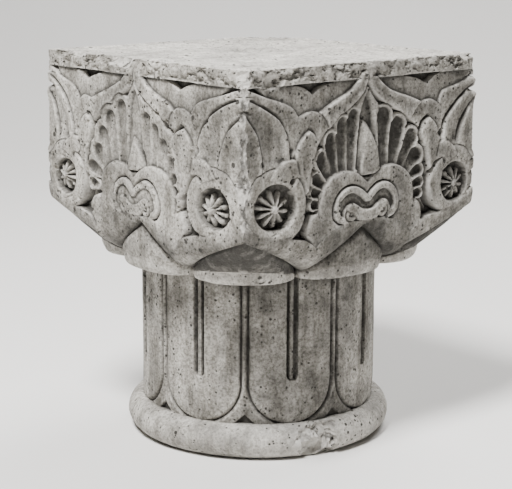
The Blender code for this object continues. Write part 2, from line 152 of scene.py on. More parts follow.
frontFace = {
    "seed": 5,
    "wear": 0.5,
    "patinaAndShade": 0.58,
    "shellRim": (2.9, 2.9),
    "fluteDepth": 5.8,
    "fluteSootAndShade": 0.38,
    "leafRise": 1.0,
    "hollowDepth": 5.6,
    "scrollDepth": 3.2,
    "leaf": ((-130, -118, -100.5, -88, -79, -67, -62.5, -47, 0, 47, 62.5, 67, 79, 88, 96, 108.5, 120, 130),
             (-130, -113.5, -92.5, -82.0, -71.8, -60.6, -56.1, -39, 2.6,
              51, 71.8, 76.3, 85.5, 90.5, 103, 119.5, 132, 142)),
    "blade": ((-130, -118, -110.5, 0, 110.5, 117.5, 125, 130),
              (-130, -115.5, -109.5, 0, 109, 121, 130, 134)),
    "rising": ((-130, -103, -80.4, -67.5, -58, -47, 0, 58, 67.5, 80.4, 103, 130),
               (-130, -100, -76.6, -61.5, -53.2, -43, 3, 63.0, 74.3, 86.5, 106, 130)),
    "heart": ((-130, -65.8, -53.3, -47, -36, 0, 36, 47, 53.3, 65.8, 130),
              (-130, -62, -49.4, -43.8, -33.4, 3.2, 40.4, 52.2, 57, 66.5, 130)),
    "scroll": ((-130, -36, 0, 36, 130), (-130, -34, 3.0, 38.6, 130)),
    "middle": ((-130, 0, 130), (-130, 3.2, 130)),
    "skirt": ((-130, -53.5, 0, 53.5, 130), (-130, -54.4, 0, 52.1, 130)),
    "roundel": ((-131, -117.8, -100.5, -83.2, -70.2, 0, 70.2, 83.2, 100.5, 117.8, 131),
                (-130, -115.8, -96.2, -75.4, -65.0, 3, 75.0, 89.4, 105.8, 122.2, 131)),
    "roundelZ": (220.4, 219.4),
    "opening": (17.6, 16.4),
    "rosetteShift": (0.2, -1.4, 1.5, -1.6),
    "flutes": (
        (((21.6, 281.5), (22.5, 243.0), 7.6), ((37.4, 272.5), (33.0, 242.0), 7.9),
         ((53.4, 261.0), (42.5, 239.5), 7.5),
         ((60.2, 246.0), (49.0, 234.5), 6.9), ((63.6, 233.6), (54.0, 229.6), 4.9),
         ((64.6, 223.6), (55.5, 221.0), 4.3),
         ((64.0, 214.4), (56.0, 213.2), 4.1)),
        (((-11.6, 283.0), (-14.5, 243.0), 6.5), ((-23.6, 277.5), (-23.8, 243.0), 6.6),
         ((-35.4, 266.5), (-32.8, 240.0), 6.8),
         ((-45.6, 252.0), (-37.5, 238.0), 6.7), ((-51.2, 237.5), (-43.5, 231.5), 5.2),
         ((-53.2, 227.0), (-46.5, 224.5), 4.4),
         ((-53.2, 217.0), (-47.5, 216.0), 4.2)),
    ),
}
leftFace = {
    "seed": 8,
    "wear": 1.0,
    "patinaAndShade": 0.34,
    "shellRim": (8.6, 5.2),
    "fluteDepth": 3.4,
    "fluteSootAndShade": 0.06,
    "leafRise": 0.66,
    "hollowDepth": 2.2,
    "scrollDepth": 1.7,
    "leaf": ((-130, -118, -100.5, -84, -79, -67, -62.5, -47, 0, 47, 62.5, 67, 79, 88, 100.5, 120, 130),
             (-130, -119, -104, -89, -83, -77.5, -74.5, -55, -7.5, 36, 47.5, 53, 64, 74, 87, 111, 130)),
    "blade": ((-130, -118, -100.5, 0, 100.5, 120, 130), (-130, -119, -104, 0, 87, 111, 130)),
    "rising": ((-130, -103, -80.4, -67.5, -58, 0, 58, 67.5, 80.4, 103, 130),
               (-130, -105, -84, -72.5, -64, -7.5, 42.4, 56.2, 70.5, 94, 130)),
    "heart": ((-130, -65.8, -53.3, -36, 0, 36, 53.3, 65.8, 130),
              (-130, -69, -54.5, -40, -8.2, 28.5, 45.5, 57, 130)),
    "scroll": ((-130, -36, 0, 36, 130), (-130, -36.0, -8.0, 25.0, 130)),
    "middle": ((-130, 0, 130), (-130, -8.0, 130)),
    "skirt": ((-130, -53.5, 0, 53.5, 130), (-130, -60.5, -6, 46.0, 130)),
    "roundel": ((-131, -117.8, -100.5, -83.2, -70.2, 0, 70.2, 83.2, 100.5, 117.8, 131),
                (-131, -119.2, -103.8, -88.6, -75.6, -8, 61.8, 75.0, 93.5, 112, 128)),
    "roundelZ": (219.2, 218.4),
    "opening": (14.8, 15.6),
    "rosetteShift": (-3.2, 0.2, -5.2, -2.4),
    "flutes": (
        (((7.0, 278.0), (9.0, 243.0), 6.2), ((17.8, 270.0), (17.0, 241.0), 6.3),
         ((29.0, 259.0), (25.5, 238.0), 6.4),
         ((37.8, 246.0), (31.0, 234.0), 5.8), ((42.2, 234.5), (36.0, 230.0), 4.7),
         ((43.6, 225.3), (38.5, 223.0), 4.1),
         ((42.6, 216.6), (38.5, 215.6), 4.1)),
        (((-25.5, 284.5), (-23.0, 243.0), 6.9), ((-41.0, 275.0), (-35.0, 242.0), 7.2),
         ((-52.0, 261.0), (-43.0, 239.0), 6.9),
         ((-58.5, 246.5), (-48.0, 235.0), 6.4), ((-66.2, 232.5), (-56.0, 229.0), 5.6),
         ((-66.6, 218.6), (-60.0, 217.4), 4.4)),
    ),
}
plainFace = {
    "seed": 6,
    "wear": 0.8,
    "patinaAndShade": 0.34,
    "shellRim": (3.9, 3.9),
    "fluteDepth": 5.2,
    "fluteSootAndShade": 0.30,
    "leafRise": 1.0,
    "hollowDepth": 5.0,
    "scrollDepth": 2.6,
    "leaf": evenTable,
    "blade": evenTable,
    "rising": evenTable,
    "heart": evenTable,
    "scroll": evenTable,
    "middle": evenTable,
    "skirt": evenTable,
    "roundel": evenTable,
    "roundelZ": (219.5, 219.5),
    "opening": (17.3, 17.3),
    "rosetteShift": (0.0, 0.0, 0.0, 0.0),
    "flutes": (evenShell, tuple(((-h[0], h[1]), (-f[0], f[1]), r) for h, f, r in evenShell)),
}

carving = {
    "roundel": (100.5, 219.5),
    "ringRadius": 30.5,
    "openingDrawn": 17.3,
    "petals": 10,
    # heights of the layers above the sunk ground, 10 is the outermost plane
    "levels": {
        "notched": 5.4, "band": 8.9, "split": 7.5, "arris": 9.3, "ground": 5.0, "inner": 9.0, "outer": 9.5,
        "shell": 7.3, "leafEdge": 4.0, "leaf": 9.0, "heart": 8.5, "scroll": 10.0, "bar": 10.3,
        "ring": 9.1, "rising": 9.9, "crescent": 10.0, "skirt": 9.6,
    },
    "skirtEdge": ((0, 198.5), (12, 199.5), (22, 199), (33, 196), (43, 191.5), (50, 186.5), (53.5, 183.5),
                  (57, 186.5), (64, 190.5), (75, 193), (88, 195), (104, 199), (118, 204), (130, 211)),
}


levels = carving["levels"]


def axisOf(face, group):
    # drawn position of every grid column of one group on one face
    drawn, cut = face[group]
    return np.interp(gridU, cut, drawn)


def segmentDistance(u, z, p, q):
    e = q - p
    t = np.clip(((u - p[0]) * e[0] + (z - p[1]) * e[1]) / max(e @ e, 1e-9), 0, 1)
    return np.hypot(u - p[0] - t * e[0], z - p[1] - t * e[1])


def outlineDistance(outline, axis, mirror=False, reach=9.0):
    # signed distance to an outline, negative inside; far values are cut at reach
    field = np.full(meshU.shape, reach)
    low, high = outline.min(0) - reach, outline.max(0) + reach
    j0, j1 = np.searchsorted(gridZ, low[1]), np.searchsorted(gridZ, high[1])
    for side in ((1, -1) if mirror else (1,)):
        span = (low[0], high[0]) if side > 0 else (-high[0], -low[0])
        i0, i1 = np.searchsorted(axis, span[0]), np.searchsorted(axis, span[1])
        if i1 <= i0 or j1 <= j0:
            continue
        u, z = np.meshgrid(axis[i0:i1] * side, gridZ[j0:j1])
        best = np.full(u.shape, reach)
        inside = np.zeros(u.shape, bool)
        for p, q in zip(outline, np.roll(outline, -1, axis=0)):
            best = np.minimum(best, segmentDistance(u, z, p, q))
            if p[1] != q[1]:
                crosses = (p[1] > z) != (q[1] > z)
                inside ^= crosses & (u < p[0] + (z - p[1]) / (q[1] - p[1]) * (q[0] - p[0]))
        field[j0:j1, i0:i1] = np.minimum(field[j0:j1, i0:i1], np.where(inside, -best, best))
    return field


def lineDistance(points, axis, mirror=False, reach=6.0):
    # distance to an open line
    field = np.full(meshU.shape, reach)
    pts = np.array(smoothCurve(points))
    for side in ((1, -1) if mirror else (1,)):
        for p, q in zip(pts, pts[1:]):
            low, high = np.minimum(p, q) - reach, np.maximum(p, q) + reach
            span = (low[0], high[0]) if side > 0 else (-high[0], -low[0])
            i0, i1 = np.searchsorted(axis, span[0]), np.searchsorted(axis, span[1])
            j0, j1 = np.searchsorted(gridZ, low[1]), np.searchsorted(gridZ, high[1])
            u, z = np.meshgrid(axis[i0:i1] * side, gridZ[j0:j1])
            field[j0:j1, i0:i1] = np.minimum(field[j0:j1, i0:i1], segmentDistance(u, z, p, q))
    return field


def raiseShape(relief, distance, level, bevel=1.2, bevelDrop=1.0, crown=0.0, hollow=0.0, width=7.0,
               slope=9.0):
    # lays a shape on the relief: crown swells it, hollow dishes it, bevel rounds its edge
    depth = np.clip(-distance, 0, None)
    top = level - bevelDrop * (1 - np.clip(depth / bevel, 0, 1)) ** 2
    top = top + crown * smoothStep(depth, 0, width) - hollow * smoothStep(depth, bevel, width)
    skirt = level - bevelDrop - slope * np.clip(distance, 0, None)
    return np.where(distance < 0, top, np.maximum(relief, np.where(distance < 8.5, skirt, -99)))


def cutLine(relief, distance, depth, width):
    return relief - depth * np.exp(-((distance / width) ** 2))


def skirtEdgeAt(u):
    table = np.array(carving["skirtEdge"], float)
    return np.interp(np.abs(u), table[:, 0], table[:, 1])


def mirrorStroke(stroke):
    return [(-u, z) for u, z in reversed(stroke)]


def drawLeafWork(relief, face):
    axis = axisOf(face, "leaf")
    # two-part leaf under the abacus, with a sunk triangle in its notch
    notched = outlineFrom([(13, 314), (34, 314), (40, 312.2), (48, 310.6), (55.5, 308.4), (62.5, 304.6)],
                          [(62.5, 304.6), (69.5, 308.4), (77, 310.6), (85, 312.2), (91, 314), (118, 314)],
                          [(118, 314), (100, 296), (64, 280), (40, 285), (20, 298), (13, 314)])
    distance = outlineDistance(notched, axis, True)
    relief = raiseShape(relief, distance, levels["notched"], 0.9, 0.9, crown=0.2)
    # the block's own arris stays proud beside the roundels
    arris = outlineFrom([(117, 200)], [(142, 200)], [(142, 256)], [(117, 256)])
    relief = raiseShape(relief, outlineDistance(arris, axis, True), levels["arris"], 1.5)
    # band that hangs from the stem under the abacus
    band = outlineFrom([(8.5, 320), (9, 316), (13, 310.5), (24, 303), (37, 298), (47, 294.5), (57, 289.5)],
                       [(57, 289.5), (47, 276)],
                       [(47, 276), (36, 284), (24, 289.5), (14, 295.5), (5.5, 302.5), (0.3, 310)],
                       [(0.3, 310), (0.3, 320)], [(0.3, 320), (8.5, 320)])
    bandDistance = outlineDistance(band, axis, True)
    relief = raiseShape(relief, bandDistance, levels["band"], 1.5, 1.5, hollow=0.8, width=6)
    # split leaf that spreads from under the rising leaf to the corner
    split = outlineFrom([(130, 312.5), (120, 309), (109, 304.5), (98, 301), (90, 298.5), (83.5, 294.5),
                         (79, 287.3)],
                        [(79, 287.3), (75, 289), (69, 290.8), (62, 291), (56, 288.5), (51.5, 284.5),
                         (47, 276.3)],
                        [(47, 276.3), (52.5, 271.5), (57.5, 264), (60, 252)],
                        [(60, 252), (75, 245), (88, 249)],
                        [(88, 249), (86.8, 257), (87.8, 266), (91.6, 276), (99.5, 286.6), (111, 295.4),
                         (123, 302.6), (133, 308)],
                        [(133, 308), (130, 312.5)])
    relief = raiseShape(relief, outlineDistance(split, axis, True), levels["split"], hollow=0.4, width=9)
    # concave blades that run into the corner
    ground = outlineFrom([(138, 312), (120, 300), (108, 285), (104, 262), (108, 246)],
                         [(108, 246), (138, 246)], [(138, 246), (138, 312)])
    relief = raiseShape(relief, outlineDistance(ground, axis, True), levels["ground"], 1.0)
    inner = outlineFrom([(142, 312), (124, 303), (112, 296), (100.5, 287.3), (92.5, 276.5), (88.5, 266),
                         (87.5, 252)],
                        [(87.5, 252), (94, 247), (113, 248)],
                        [(113, 248), (142, 248)], [(142, 248), (142, 312)])
    innerDistance = outlineDistance(inner, axis, True)
    relief = raiseShape(relief, innerDistance, levels["inner"], 1.2, 0.8, hollow=4.8, width=19)
    bladeAxis = axisOf(face, "blade")
    outer = outlineFrom([(142, 306), (134, 298), (125, 288), (117.5, 277), (113, 266), (110.5, 255),
                         (111, 240)],
                        [(111, 240), (142, 236)], [(142, 306)])
    outerDistance = outlineDistance(outer, bladeAxis, True)
    relief = raiseShape(relief, outerDistance, levels["outer"], 1.5, 1.4, hollow=1.4, width=8)
    # grooves beside both blades, cut in and darkened with painted shade and soot
    line = [(123.4, 303.8), (111.2, 297), (99.7, 288.2), (91.6, 277), (87.5, 266.2), (86.5, 252)]
    groove = np.exp(-((lineDistance(line, axis, True) / 1.0) ** 2))
    line = [(140.6, 306.6), (133, 299), (124, 288.7), (116.5, 277.5), (112, 266.3), (109.5, 254)]
    groove = np.maximum(groove, np.exp(-((lineDistance(line, bladeAxis, True) / 0.9) ** 2)))
    return relief - 2.2 * groove, bandDistance, 0.75 * groove


def drawShell(relief, face):
    # fluted shell with a scalloped rim, and the ridged leaf in its middle
    u, z = meshU, meshZ
    level = levels["shell"]
    rim = np.full(u.shape, 9.0)
    hollows = []
    for shellRim, flutes in zip(face["shellRim"], face["flutes"]):
        for head, foot, radius in flutes:
            head, foot = np.array(head), np.array(foot)
            e = foot - head
            t = np.clip(((u - head[0]) * e[0] + (z - head[1]) * e[1]) / (e @ e), 0, 1)
            d = np.hypot(u - head[0] - t * e[0], z - head[1] - t * e[1])
            rim = np.minimum(rim, d - (radius + shellRim * min(1, (radius / 6) ** 2)) * (1 - 0.4 * t))
            hollows.append((d - radius * (1.04 - 0.30 * t), t))
    axis = axisOf(face, "middle")
    tip = [(0, 308.8), (3, 303), (8, 296.5), (14, 288), (18, 262), (14, 236), (0, 232)]
    rim = np.minimum(rim, outlineDistance(outlineFrom(tip, mirrorStroke(tip)), axis))
    body = [(0, 285), (28, 268), (47, 243), (52, 215), (47, 204), (0, 204)]
    rim = np.minimum(rim, outlineDistance(outlineFrom(body, mirrorStroke(body)), axisOf(face, "heart")))
    relief = raiseShape(relief, rim, level, 1.2, 1.2)
    sootAndShade = np.zeros(u.shape)
    # painted shadow and soot in the flutes, darkest at their heads and fading towards the foot
    for distance, t in hollows:
        inside = np.clip(-distance / 5.0, 0, 1)
        sootAndShade = np.maximum(sootAndShade, face["fluteSootAndShade"] * smoothStep(inside, 0.02, 0.25) * (1 - 0.7 * t))
        floor = level - face["fluteDepth"] * (1 - 0.45 * t) * np.sqrt(1 - (1 - inside) ** 2)
        relief = np.where(distance < 0, np.minimum(relief, floor), relief)
    hollow = [(0, 304.5), (4.4, 297.5), (8.2, 288), (9.4, 277), (11.4, 262), (13.4, 240)]
    tipHollow = outlineFrom(hollow, [(13.4, 240), (-13.4, 240)], mirrorStroke(hollow))
    distance = outlineDistance(tipHollow, axis)
    floor = level - face["hollowDepth"] * smoothStep(-distance, 0, 3.6)
    relief = np.where(distance < 0, np.minimum(relief, floor), relief)
    leafFoot = 234
    leafOuter = outlineFrom([(-3.0, 280), (2.5, 275), (8, 268), (12.3, 258), (14.6, 243), (14.6, leafFoot)],
                            [(14.6, leafFoot), (-10.5, leafFoot)],
                            [(-10.5, leafFoot), (-10.5, 246), (-8, 262), (-5.5, 272), (-3.0, 280)])
    leafOuter[:, 1] = leafFoot + (leafOuter[:, 1] - leafFoot) * face["leafRise"]
    distance = outlineDistance(leafOuter, axis)
    gable = levels["leafEdge"] + 4.6 * np.clip(-distance / 5.0, 0, 1) ** 0.8
    bank = np.where(distance < 8, levels["leafEdge"] - 3.0 * distance, -99)
    relief = np.where(distance < 0, gable, np.maximum(relief, bank))
    leafInner = outlineFrom([(1.5, 271), (6.6, 264), (10.8, 255), (13, 243), (12.5, 236)],
                            [(12.5, 236), (-7, 236)],
                            [(-7, 236), (-8, 244), (-5.5, 254), (-2, 263), (1.5, 271)])
    leafInner[:, 1] = leafFoot + (leafInner[:, 1] - leafFoot) * face["leafRise"]
    relief = raiseShape(relief, outlineDistance(leafInner, axis), levels["leaf"], crown=0.3)
    return relief, sootAndShade * (relief < level)


def drawHeart(relief, face):
    # heart-shaped band with flared ends, and the scroll laid on it
    half = [(0, 230.5), (4, 234), (10, 237.8), (18, 240.6), (27, 241.4), (36, 239.3), (44, 234.5),
            (50, 227), (53, 218), (53.3, 207)]
    flare = [(53.3, 210), (58, 209.4), (63, 206), (65.8, 199), (65.5, 193), (61, 187), (56, 178)]
    foot = [(56, 178), (40, 180), (0, 186)]
    heart = outlineFrom(half, flare, foot, mirrorStroke(foot), mirrorStroke(flare), mirrorStroke(half))
    relief = raiseShape(relief, outlineDistance(heart, axisOf(face, "heart")), levels["heart"], 1.7, 1.7)
    axis = axisOf(face, "scroll")
    drawnU = np.broadcast_to(axis, meshU.shape)
    edge = [(0, 219.5), (5, 224), (12, 227.5), (19.5, 228.4), (27, 225.8), (33, 220), (36, 212),
            (35.3, 205), (30, 200), (23, 198.3), (16, 199.5), (12, 201)]
    scroll = outlineFrom(edge, [(12, 201), (0, 200), (-12, 201)], mirrorStroke(edge))
    distance = outlineDistance(scroll, axis)
    relief = cutLine(relief, np.clip(distance - 0.5, 0, None), 3.4, 1.2)
    relief = raiseShape(relief, distance, levels["scroll"], 1.3, 1.3, slope=7)
    inset = np.clip(-distance - 5.0, 0, None)
    sunk = relief - face["scrollDepth"] * np.clip(inset / 0.9, 0, 1) + 0.6 * smoothStep(inset, 1, 5)
    relief = np.where(distance < -5.0, sunk, relief)
    curlX, curlZ = np.abs(drawnU) - 18.0, meshZ - 206.3
    curl = np.hypot(curlX, curlZ)
    turn = np.arctan2(curlZ, curlX)
    groove = np.abs(((curl - 1.0 + turn * 0.75) % 4.7) - 2.35)
    eye = 9.3 - 1.9 * np.exp(-((2.35 - groove) / 0.75) ** 2) - 0.5 * smoothStep(curl, 6.5, 8.2)
    relief = np.where(curl < 8.2, eye, relief)
    upper = [(0, 207.8), (6, 209.0), (11, 212.0), (16, 214.4), (21, 213.6), (24, 210)]
    lower = [(24, 210), (20.5, 207.8), (16.5, 206.6), (12.5, 202.2), (9, 199.6), (0, 198.6)]
    bar = outlineFrom(upper, lower, mirrorStroke(lower), mirrorStroke(upper))
    distance = outlineDistance(bar, axis)
    return raiseShape(relief, distance, levels["bar"], 1.4, 1.3, hollow=0.5, width=3, slope=4)


def drawRoundels(relief, sootAndShade, face):
    # ring, crescent and the two-lobed leaf that grows from it, then the deep opening with its rosette
    axis = axisOf(face, "roundel")
    drawnU = np.broadcast_to(axis, meshU.shape)
    cu, cz = carving["roundel"]
    absU = np.abs(drawnU)
    ring = np.hypot(absU - cu, meshZ - cz - 1.0) - carving["ringRadius"]
    relief = raiseShape(relief, np.clip(ring, -9, 9), levels["ring"], 2.0, 1.7, crown=0.2, width=6)
    rising = outlineFrom([(67.5, 276), (72, 273), (76.5, 268), (79.5, 261.5), (80.3, 255.5)],
                         [(80.3, 255.5), (84.5, 255.6), (90.5, 255.2), (96, 252.8), (102, 248.4),
                          (106, 242)],
                         [(106, 242), (97, 238.5), (90, 236.5), (86, 238), (83.5, 241.5)],
                         [(83.5, 241.5), (78, 239), (73, 232), (69, 224)],
                         [(69, 224), (67.6, 233), (66, 244), (62, 255), (59, 263), (60, 269.5),
                          (63.5, 273.8), (67.5, 276)])
    risingAxis = axisOf(face, "rising")
    # a dark gap beside the rising leaf: cut in, with painted shade and soot along it
    line = lineDistance([(66.5, 277), (62.8, 274.6), (59.2, 270), (58, 263), (60.5, 256)], risingAxis, True)
    relief = relief - 3.0 * np.exp(-((line / 1.3) ** 2))
    sootAndShade = np.maximum(sootAndShade, 0.8 * np.exp(-((line / 1.2) ** 2)))
    distance = outlineDistance(rising, risingAxis, True)
    relief = raiseShape(relief, distance, levels["rising"], 1.3, 1.2, hollow=0.2, slope=14)
    sootAndShade = np.where(distance < 0, 0, sootAndShade)
    fold = lineDistance([(80.3, 256), (77.5, 250), (76.5, 244)], risingAxis, True)
    relief = cutLine(relief, fold, 0.8, 1.0)
    crescent = outlineFrom([(83, 242.5), (77.5, 238.5), (72.5, 231), (70.2, 221), (71.5, 210), (77, 201),
                            (86, 196), (97, 195.5), (107, 198.5)],
                           [(107, 198.5), (99, 201), (91, 204.5), (85.5, 211), (83.2, 220), (84.5, 229),
                            (87.5, 235), (83, 242.5)])
    distance = outlineDistance(crescent, axis, True)
    beside = smoothStep(meshZ, 197, 203) * (1 - smoothStep(meshZ, 236, 243)) * (absU < cu - 14)
    relief = relief - beside * 5.5 * smoothStep(3.4 - distance, 0, 1.6)
    relief = raiseShape(relief, distance, levels["crescent"], 1.6, 1.8)
    relief = relief - 2.4 * smoothStep(2.8 - np.hypot(absU - 86.3, meshZ - 238.8), 0, 1.8)
    risingU = np.abs(np.broadcast_to(risingAxis, meshU.shape))
    relief = relief - 5.5 * smoothStep(3.6 - np.hypot((risingU - 83.5) * 1.1, (meshZ - 262) * 0.9), 0, 1.8)
    drawn, cut = face["roundel"]
    for index, side in enumerate((-1, 1)):
        centre = np.interp(side * cu, drawn, cut)
        halfWidth = abs(np.interp(side * (cu - carving["openingDrawn"]), drawn, cut) - centre)
        halfHeight = face["opening"][index]
        zMid = face["roundelZ"][index]
        away = np.hypot((meshU - centre) / halfWidth, (meshZ - zMid) / halfHeight)
        shiftU, shiftZ = face["rosetteShift"][2 * index:2 * index + 2]
        across, up = meshU - centre - shiftU, meshZ - zMid - shiftZ
        floor, petal = rosetteHeight(across / halfWidth, up / halfHeight)
        rimDrop = 1.6 * (1 - smoothStep(away, 1.0, 1.12))
        relief = np.where(away < 1, floor, relief - np.where(away < 1.12, rimDrop, 0))
        # painted shade and soot in the opening: all but the petals and the boss goes dark, as under
        # undercut walls
        sootAndShade = np.where(away < 1.03, 1.0 - 0.97 * np.where(away < 1, petal, 0), sootAndShade)
    return relief, sootAndShade


def rosetteHeight(x, y):
    # ridged petals that slope down from a small boss; x and y are shares of the opening
    radius = np.hypot(x, y)
    turn = np.arctan2(y, x) / (2 * np.pi / carving["petals"]) + 0.35
    across = np.abs(turn - np.round(turn)) * 2      # 0 on a petal's ridge, 1 between two
    width = 0.86 - 0.50 * smoothStep(radius, 0.55, 0.88)
    ridge = 9.4 - 6.4 * radius
    petal = np.clip(1 - across / width, 0, 1)
    keep = 1 - smoothStep(radius, 0.78, 0.88)
    floor = 0.6
    height = floor + (ridge - floor) * keep * smoothStep(petal, 0.0, 0.55) * (0.82 + 0.18 * petal)
    boss = np.where(radius < 0.17, 9.5 - 1.2 * (radius / 0.17) ** 2, -99)
    shown = np.maximum(keep * smoothStep(petal, 0.05, 0.5), radius < 0.17)
    return np.maximum(height, boss), shown


def drawRelief(face):
    # heights above the ground between the motifs, 10 is the outermost plane, and where soot and painted
    # shade gather
    relief = np.zeros(meshU.shape)
    relief, bandDistance, grooves = drawLeafWork(relief, face)
    relief, sootAndShade = drawShell(relief, face)
    sootAndShade = np.maximum(sootAndShade, grooves)
    relief = drawHeart(relief, face)
    relief, sootAndShade = drawRoundels(relief, sootAndShade, face)
    # skirt lobes below everything, and the abacus above
    skirt = meshZ - skirtEdgeAt(np.broadcast_to(axisOf(face, "skirt"), meshU.shape))
    lobes = levels["skirt"] - 1.2 * np.clip(skirt + 1.6, 0, 1.6) / 1.6
    relief = np.where(skirt < 0, lobes, np.maximum(relief, 8.4 - 5.0 * skirt))
    above = stone["bandFoot"] - meshZ
    bandLevel = stone["reliefDepth"] - stone["bandSetback"]
    bandTop = np.where(above < 0, bandLevel - 0.6 * (1 - np.clip(-above / 0.9, 0, 1)) ** 2, -99)
    stem = (bandDistance < 0) & (meshZ > stone["bandFoot"] - 2)
    fade = smoothStep(meshZ, 315.5, 319.5)
    blended = np.maximum(bandTop, relief * (1 - fade) + bandTop * fade)
    return np.where(above < 0, np.where(stem, blended, bandTop), relief), sootAndShade


def boxBlur(field, radius):
    # separable running mean, radius in cells
    for axis in (0, 1):
        before = np.repeat(field.take([0], axis), radius + 1, axis)
        after = np.repeat(field.take([-1], axis), radius, axis)
        total = np.cumsum(np.concatenate([before, field, after], axis), axis)
        size = 2 * radius + 1
        upper = total.take(range(size, total.shape[axis]), axis)
        lower = total.take(range(0, total.shape[axis] - size), axis)
        field = (upper - lower) / size
    return field


def reliefMaps(face):
    relief, sootAndShade = drawRelief(face)
    wide = boxBlur(boxBlur(relief, int(4 / gridStep)), int(3 / gridStep))
    near = boxBlur(boxBlur(relief, int(0.8 / gridStep)), int(0.8 / gridStep))
    middle = boxBlur(boxBlur(relief, int(1.6 / gridStep)), int(1.2 / gridStep))
    return {
        "sharp": relief,
        "soft": boxBlur(relief, 1),
        # cavity and crease feed the painted shade and dirt in hollows and along the feet of edges; edge
        # feeds the pale worn tint, which also paints edge highlights
        "cavity": np.clip((wide - relief) / 3.0, -1, 1),
        "crease": np.clip((middle - relief - 0.10) / 0.65, 0, 1),
        "edge": np.clip((relief - near) / 0.9, 0, 1) * (1 - np.clip(2 * boxBlur(sootAndShade, 2), 0, 1)),
        "sootAndShade": boxBlur(sootAndShade, 1),
    }


faces = (frontFace, {**plainFace, "seed": 6}, {**plainFace, "seed": 7}, leftFace)
plainMaps = reliefMaps(plainFace)
maps = (reliefMaps(frontFace), plainMaps, plainMaps, reliefMaps(leftFace))
print("relief drawn", meshU.shape)


def readGrid(field, u, z):
    # bilinear reading of the design grid
    fu = np.clip((u - gridU[0]) / gridStep, 0, len(gridU) - 1.001)
    fz = np.clip((z - gridZ[0]) / gridStep, 0, len(gridZ) - 1.001)
    iu, iz = fu.astype(int), fz.astype(int)
    tu, tz = fu - iu, fz - iz
    low = field[iz, iu] * (1 - tu) + field[iz, iu + 1] * tu
    high = field[iz + 1, iu] * (1 - tu) + field[iz + 1, iu + 1] * tu
    return low * (1 - tz) + high * tz


# wear of the four faces
def faceHeight(index, u, z):
    # height above the ground of one face with its wobble, knocks and wear, then its dirt with painted
    # shade, and its worn edges that also carry painted highlights
    spec, fields = faces[index], maps[index]
    seed = spec["seed"] * 31
    edge = smoothStep(130 - np.abs(u), 0, 14)
    du = u + 1.2 * (valueNoise(u + 300, z, 34, seed) - 0.5) * edge
    below = smoothStep(z, 200, 215) * (1 - smoothStep(z, 304, 311))
    dz = z + 1.4 * (valueNoise(u + 300, z + 90, 30, seed + 1) - 0.5) * below
    read = {name: readGrid(field, du, dz) for name, field in fields.items()}
    mix = np.clip(0.25 + spec["wear"] * (layeredNoise(u + 400, z, 22, seed + 2) - 0.25), 0, 1)
    height = read["sharp"] * (1 - mix) + read["soft"] * mix
    # small knocks on the proud edges
    knocks = layeredNoise(u + 500, z, 7.5, seed + 3, 3)
    proud = smoothStep(-read["cavity"], 0.05, 0.45)
    height = height - spec["wear"] * 3.0 * proud * smoothStep(knocks, 0.60, 0.80)
    # uneven tooling
    height = height + 0.55 * (layeredNoise(u + 700, z, 11, seed + 4) - 0.5)
    height = height + 0.3 * (valueNoise(u + 900, z, 1.7, seed + 5) - 0.5)
    # the abacus edge is rougher than the carving under it
    band = smoothStep(z, 312, 314)
    rough = layeredNoise(u + 1100, z * 1.6, 6, seed + 6, 4)
    height = height - band * (2.0 * smoothStep(rough, 0.50, 0.76) + 1.2 * (rough - 0.4))
    # painted shadow: a thin dark line just under the abacus
    shadowUnderAbacus = np.exp(-((z - 312.0) / 0.8) ** 2)
    # each face's base darkness, then dirt plus painted shade in hollows, creases, flutes, grooves and
    # openings, where shade falls
    dirtAndShade = spec["patinaAndShade"] + 1.05 * np.clip(read["cavity"] - 0.03, -0.2, 1)
    dirtAndShade = dirtAndShade + 0.9 * read["sootAndShade"] + 0.95 * read["crease"]
    dirtAndShade = dirtAndShade + band * (0.30 * smoothStep(rough, 0.52, 0.78) - 0.12) + 0.5 * shadowUnderAbacus
    dirtAndShade = dirtAndShade + 0.55 * (layeredNoise(u + 1300, z, 13, seed + 8) - 0.5)
    dirtAndShade = dirtAndShade + 0.35 * (layeredNoise(u + 1500, z, 4, seed + 9) - 0.5)
    return height, np.clip(dirtAndShade, 0, 1), read["edge"] * (1 - 0.5 * mix)


# foot: roll, drum, leaves and skirt
foot = {
    "strapHalf": 36.5,
    "strapFoot": 62.0,      # where the straps' round ends begin
    "strapRound": 0.95,
    "grooveDepth": 2.3,
    "slotHalf": 5.0,
    "slotFoot": 70.0,
    "slotDepth": 4.8,
}


def drumHeight(along, z):
    # along runs round the drum from the middle of a strap, in millimetres
    pitch = 2 * np.pi * stone["drumRadius"] / 8
    s = (along + pitch / 2) % pitch - pitch / 2
    spring = foot["strapFoot"]
    low = np.hypot(s, (z - spring) / foot["strapRound"]) - foot["strapHalf"]
    strap = np.where(z > spring, np.abs(s) - foot["strapHalf"], low)
    height = -0.5 * smoothStep(strap, -2.5, -0.6)
    height = np.where(strap > 0, -1.0, height)
    height = height - foot["grooveDepth"] * np.exp(-((strap - 0.2) / 0.95) ** 2)
    rib = np.abs(strap - 3.2)
    height = height + np.where(strap > 0, 0.9 * np.exp(-(rib / 1.5) ** 2), 0)
    # sunk triangle where two straps part over the roll
    gap = pitch / 2 - np.abs(s)
    triangle = np.minimum(36.5 - z - 0.9 * gap, strap - 4.5)
    height = height - 2.6 * smoothStep(triangle, -0.2, 1.6) * smoothStep(z, 25, 28)
    slotLow = np.hypot(s, z - foot["slotFoot"]) - foot["slotHalf"]
    slot = np.where(z > foot["slotFoot"], np.abs(s) - foot["slotHalf"], slotLow)
    inside = smoothStep(-slot, -0.25, 0.9)
    bar = 1 - smoothStep(np.abs(s + 0.3), 1.3, 2.7)
    floor = -foot["slotDepth"] + 2.9 * bar
    height = height * (1 - inside) + floor * inside
    return height, inside * bar


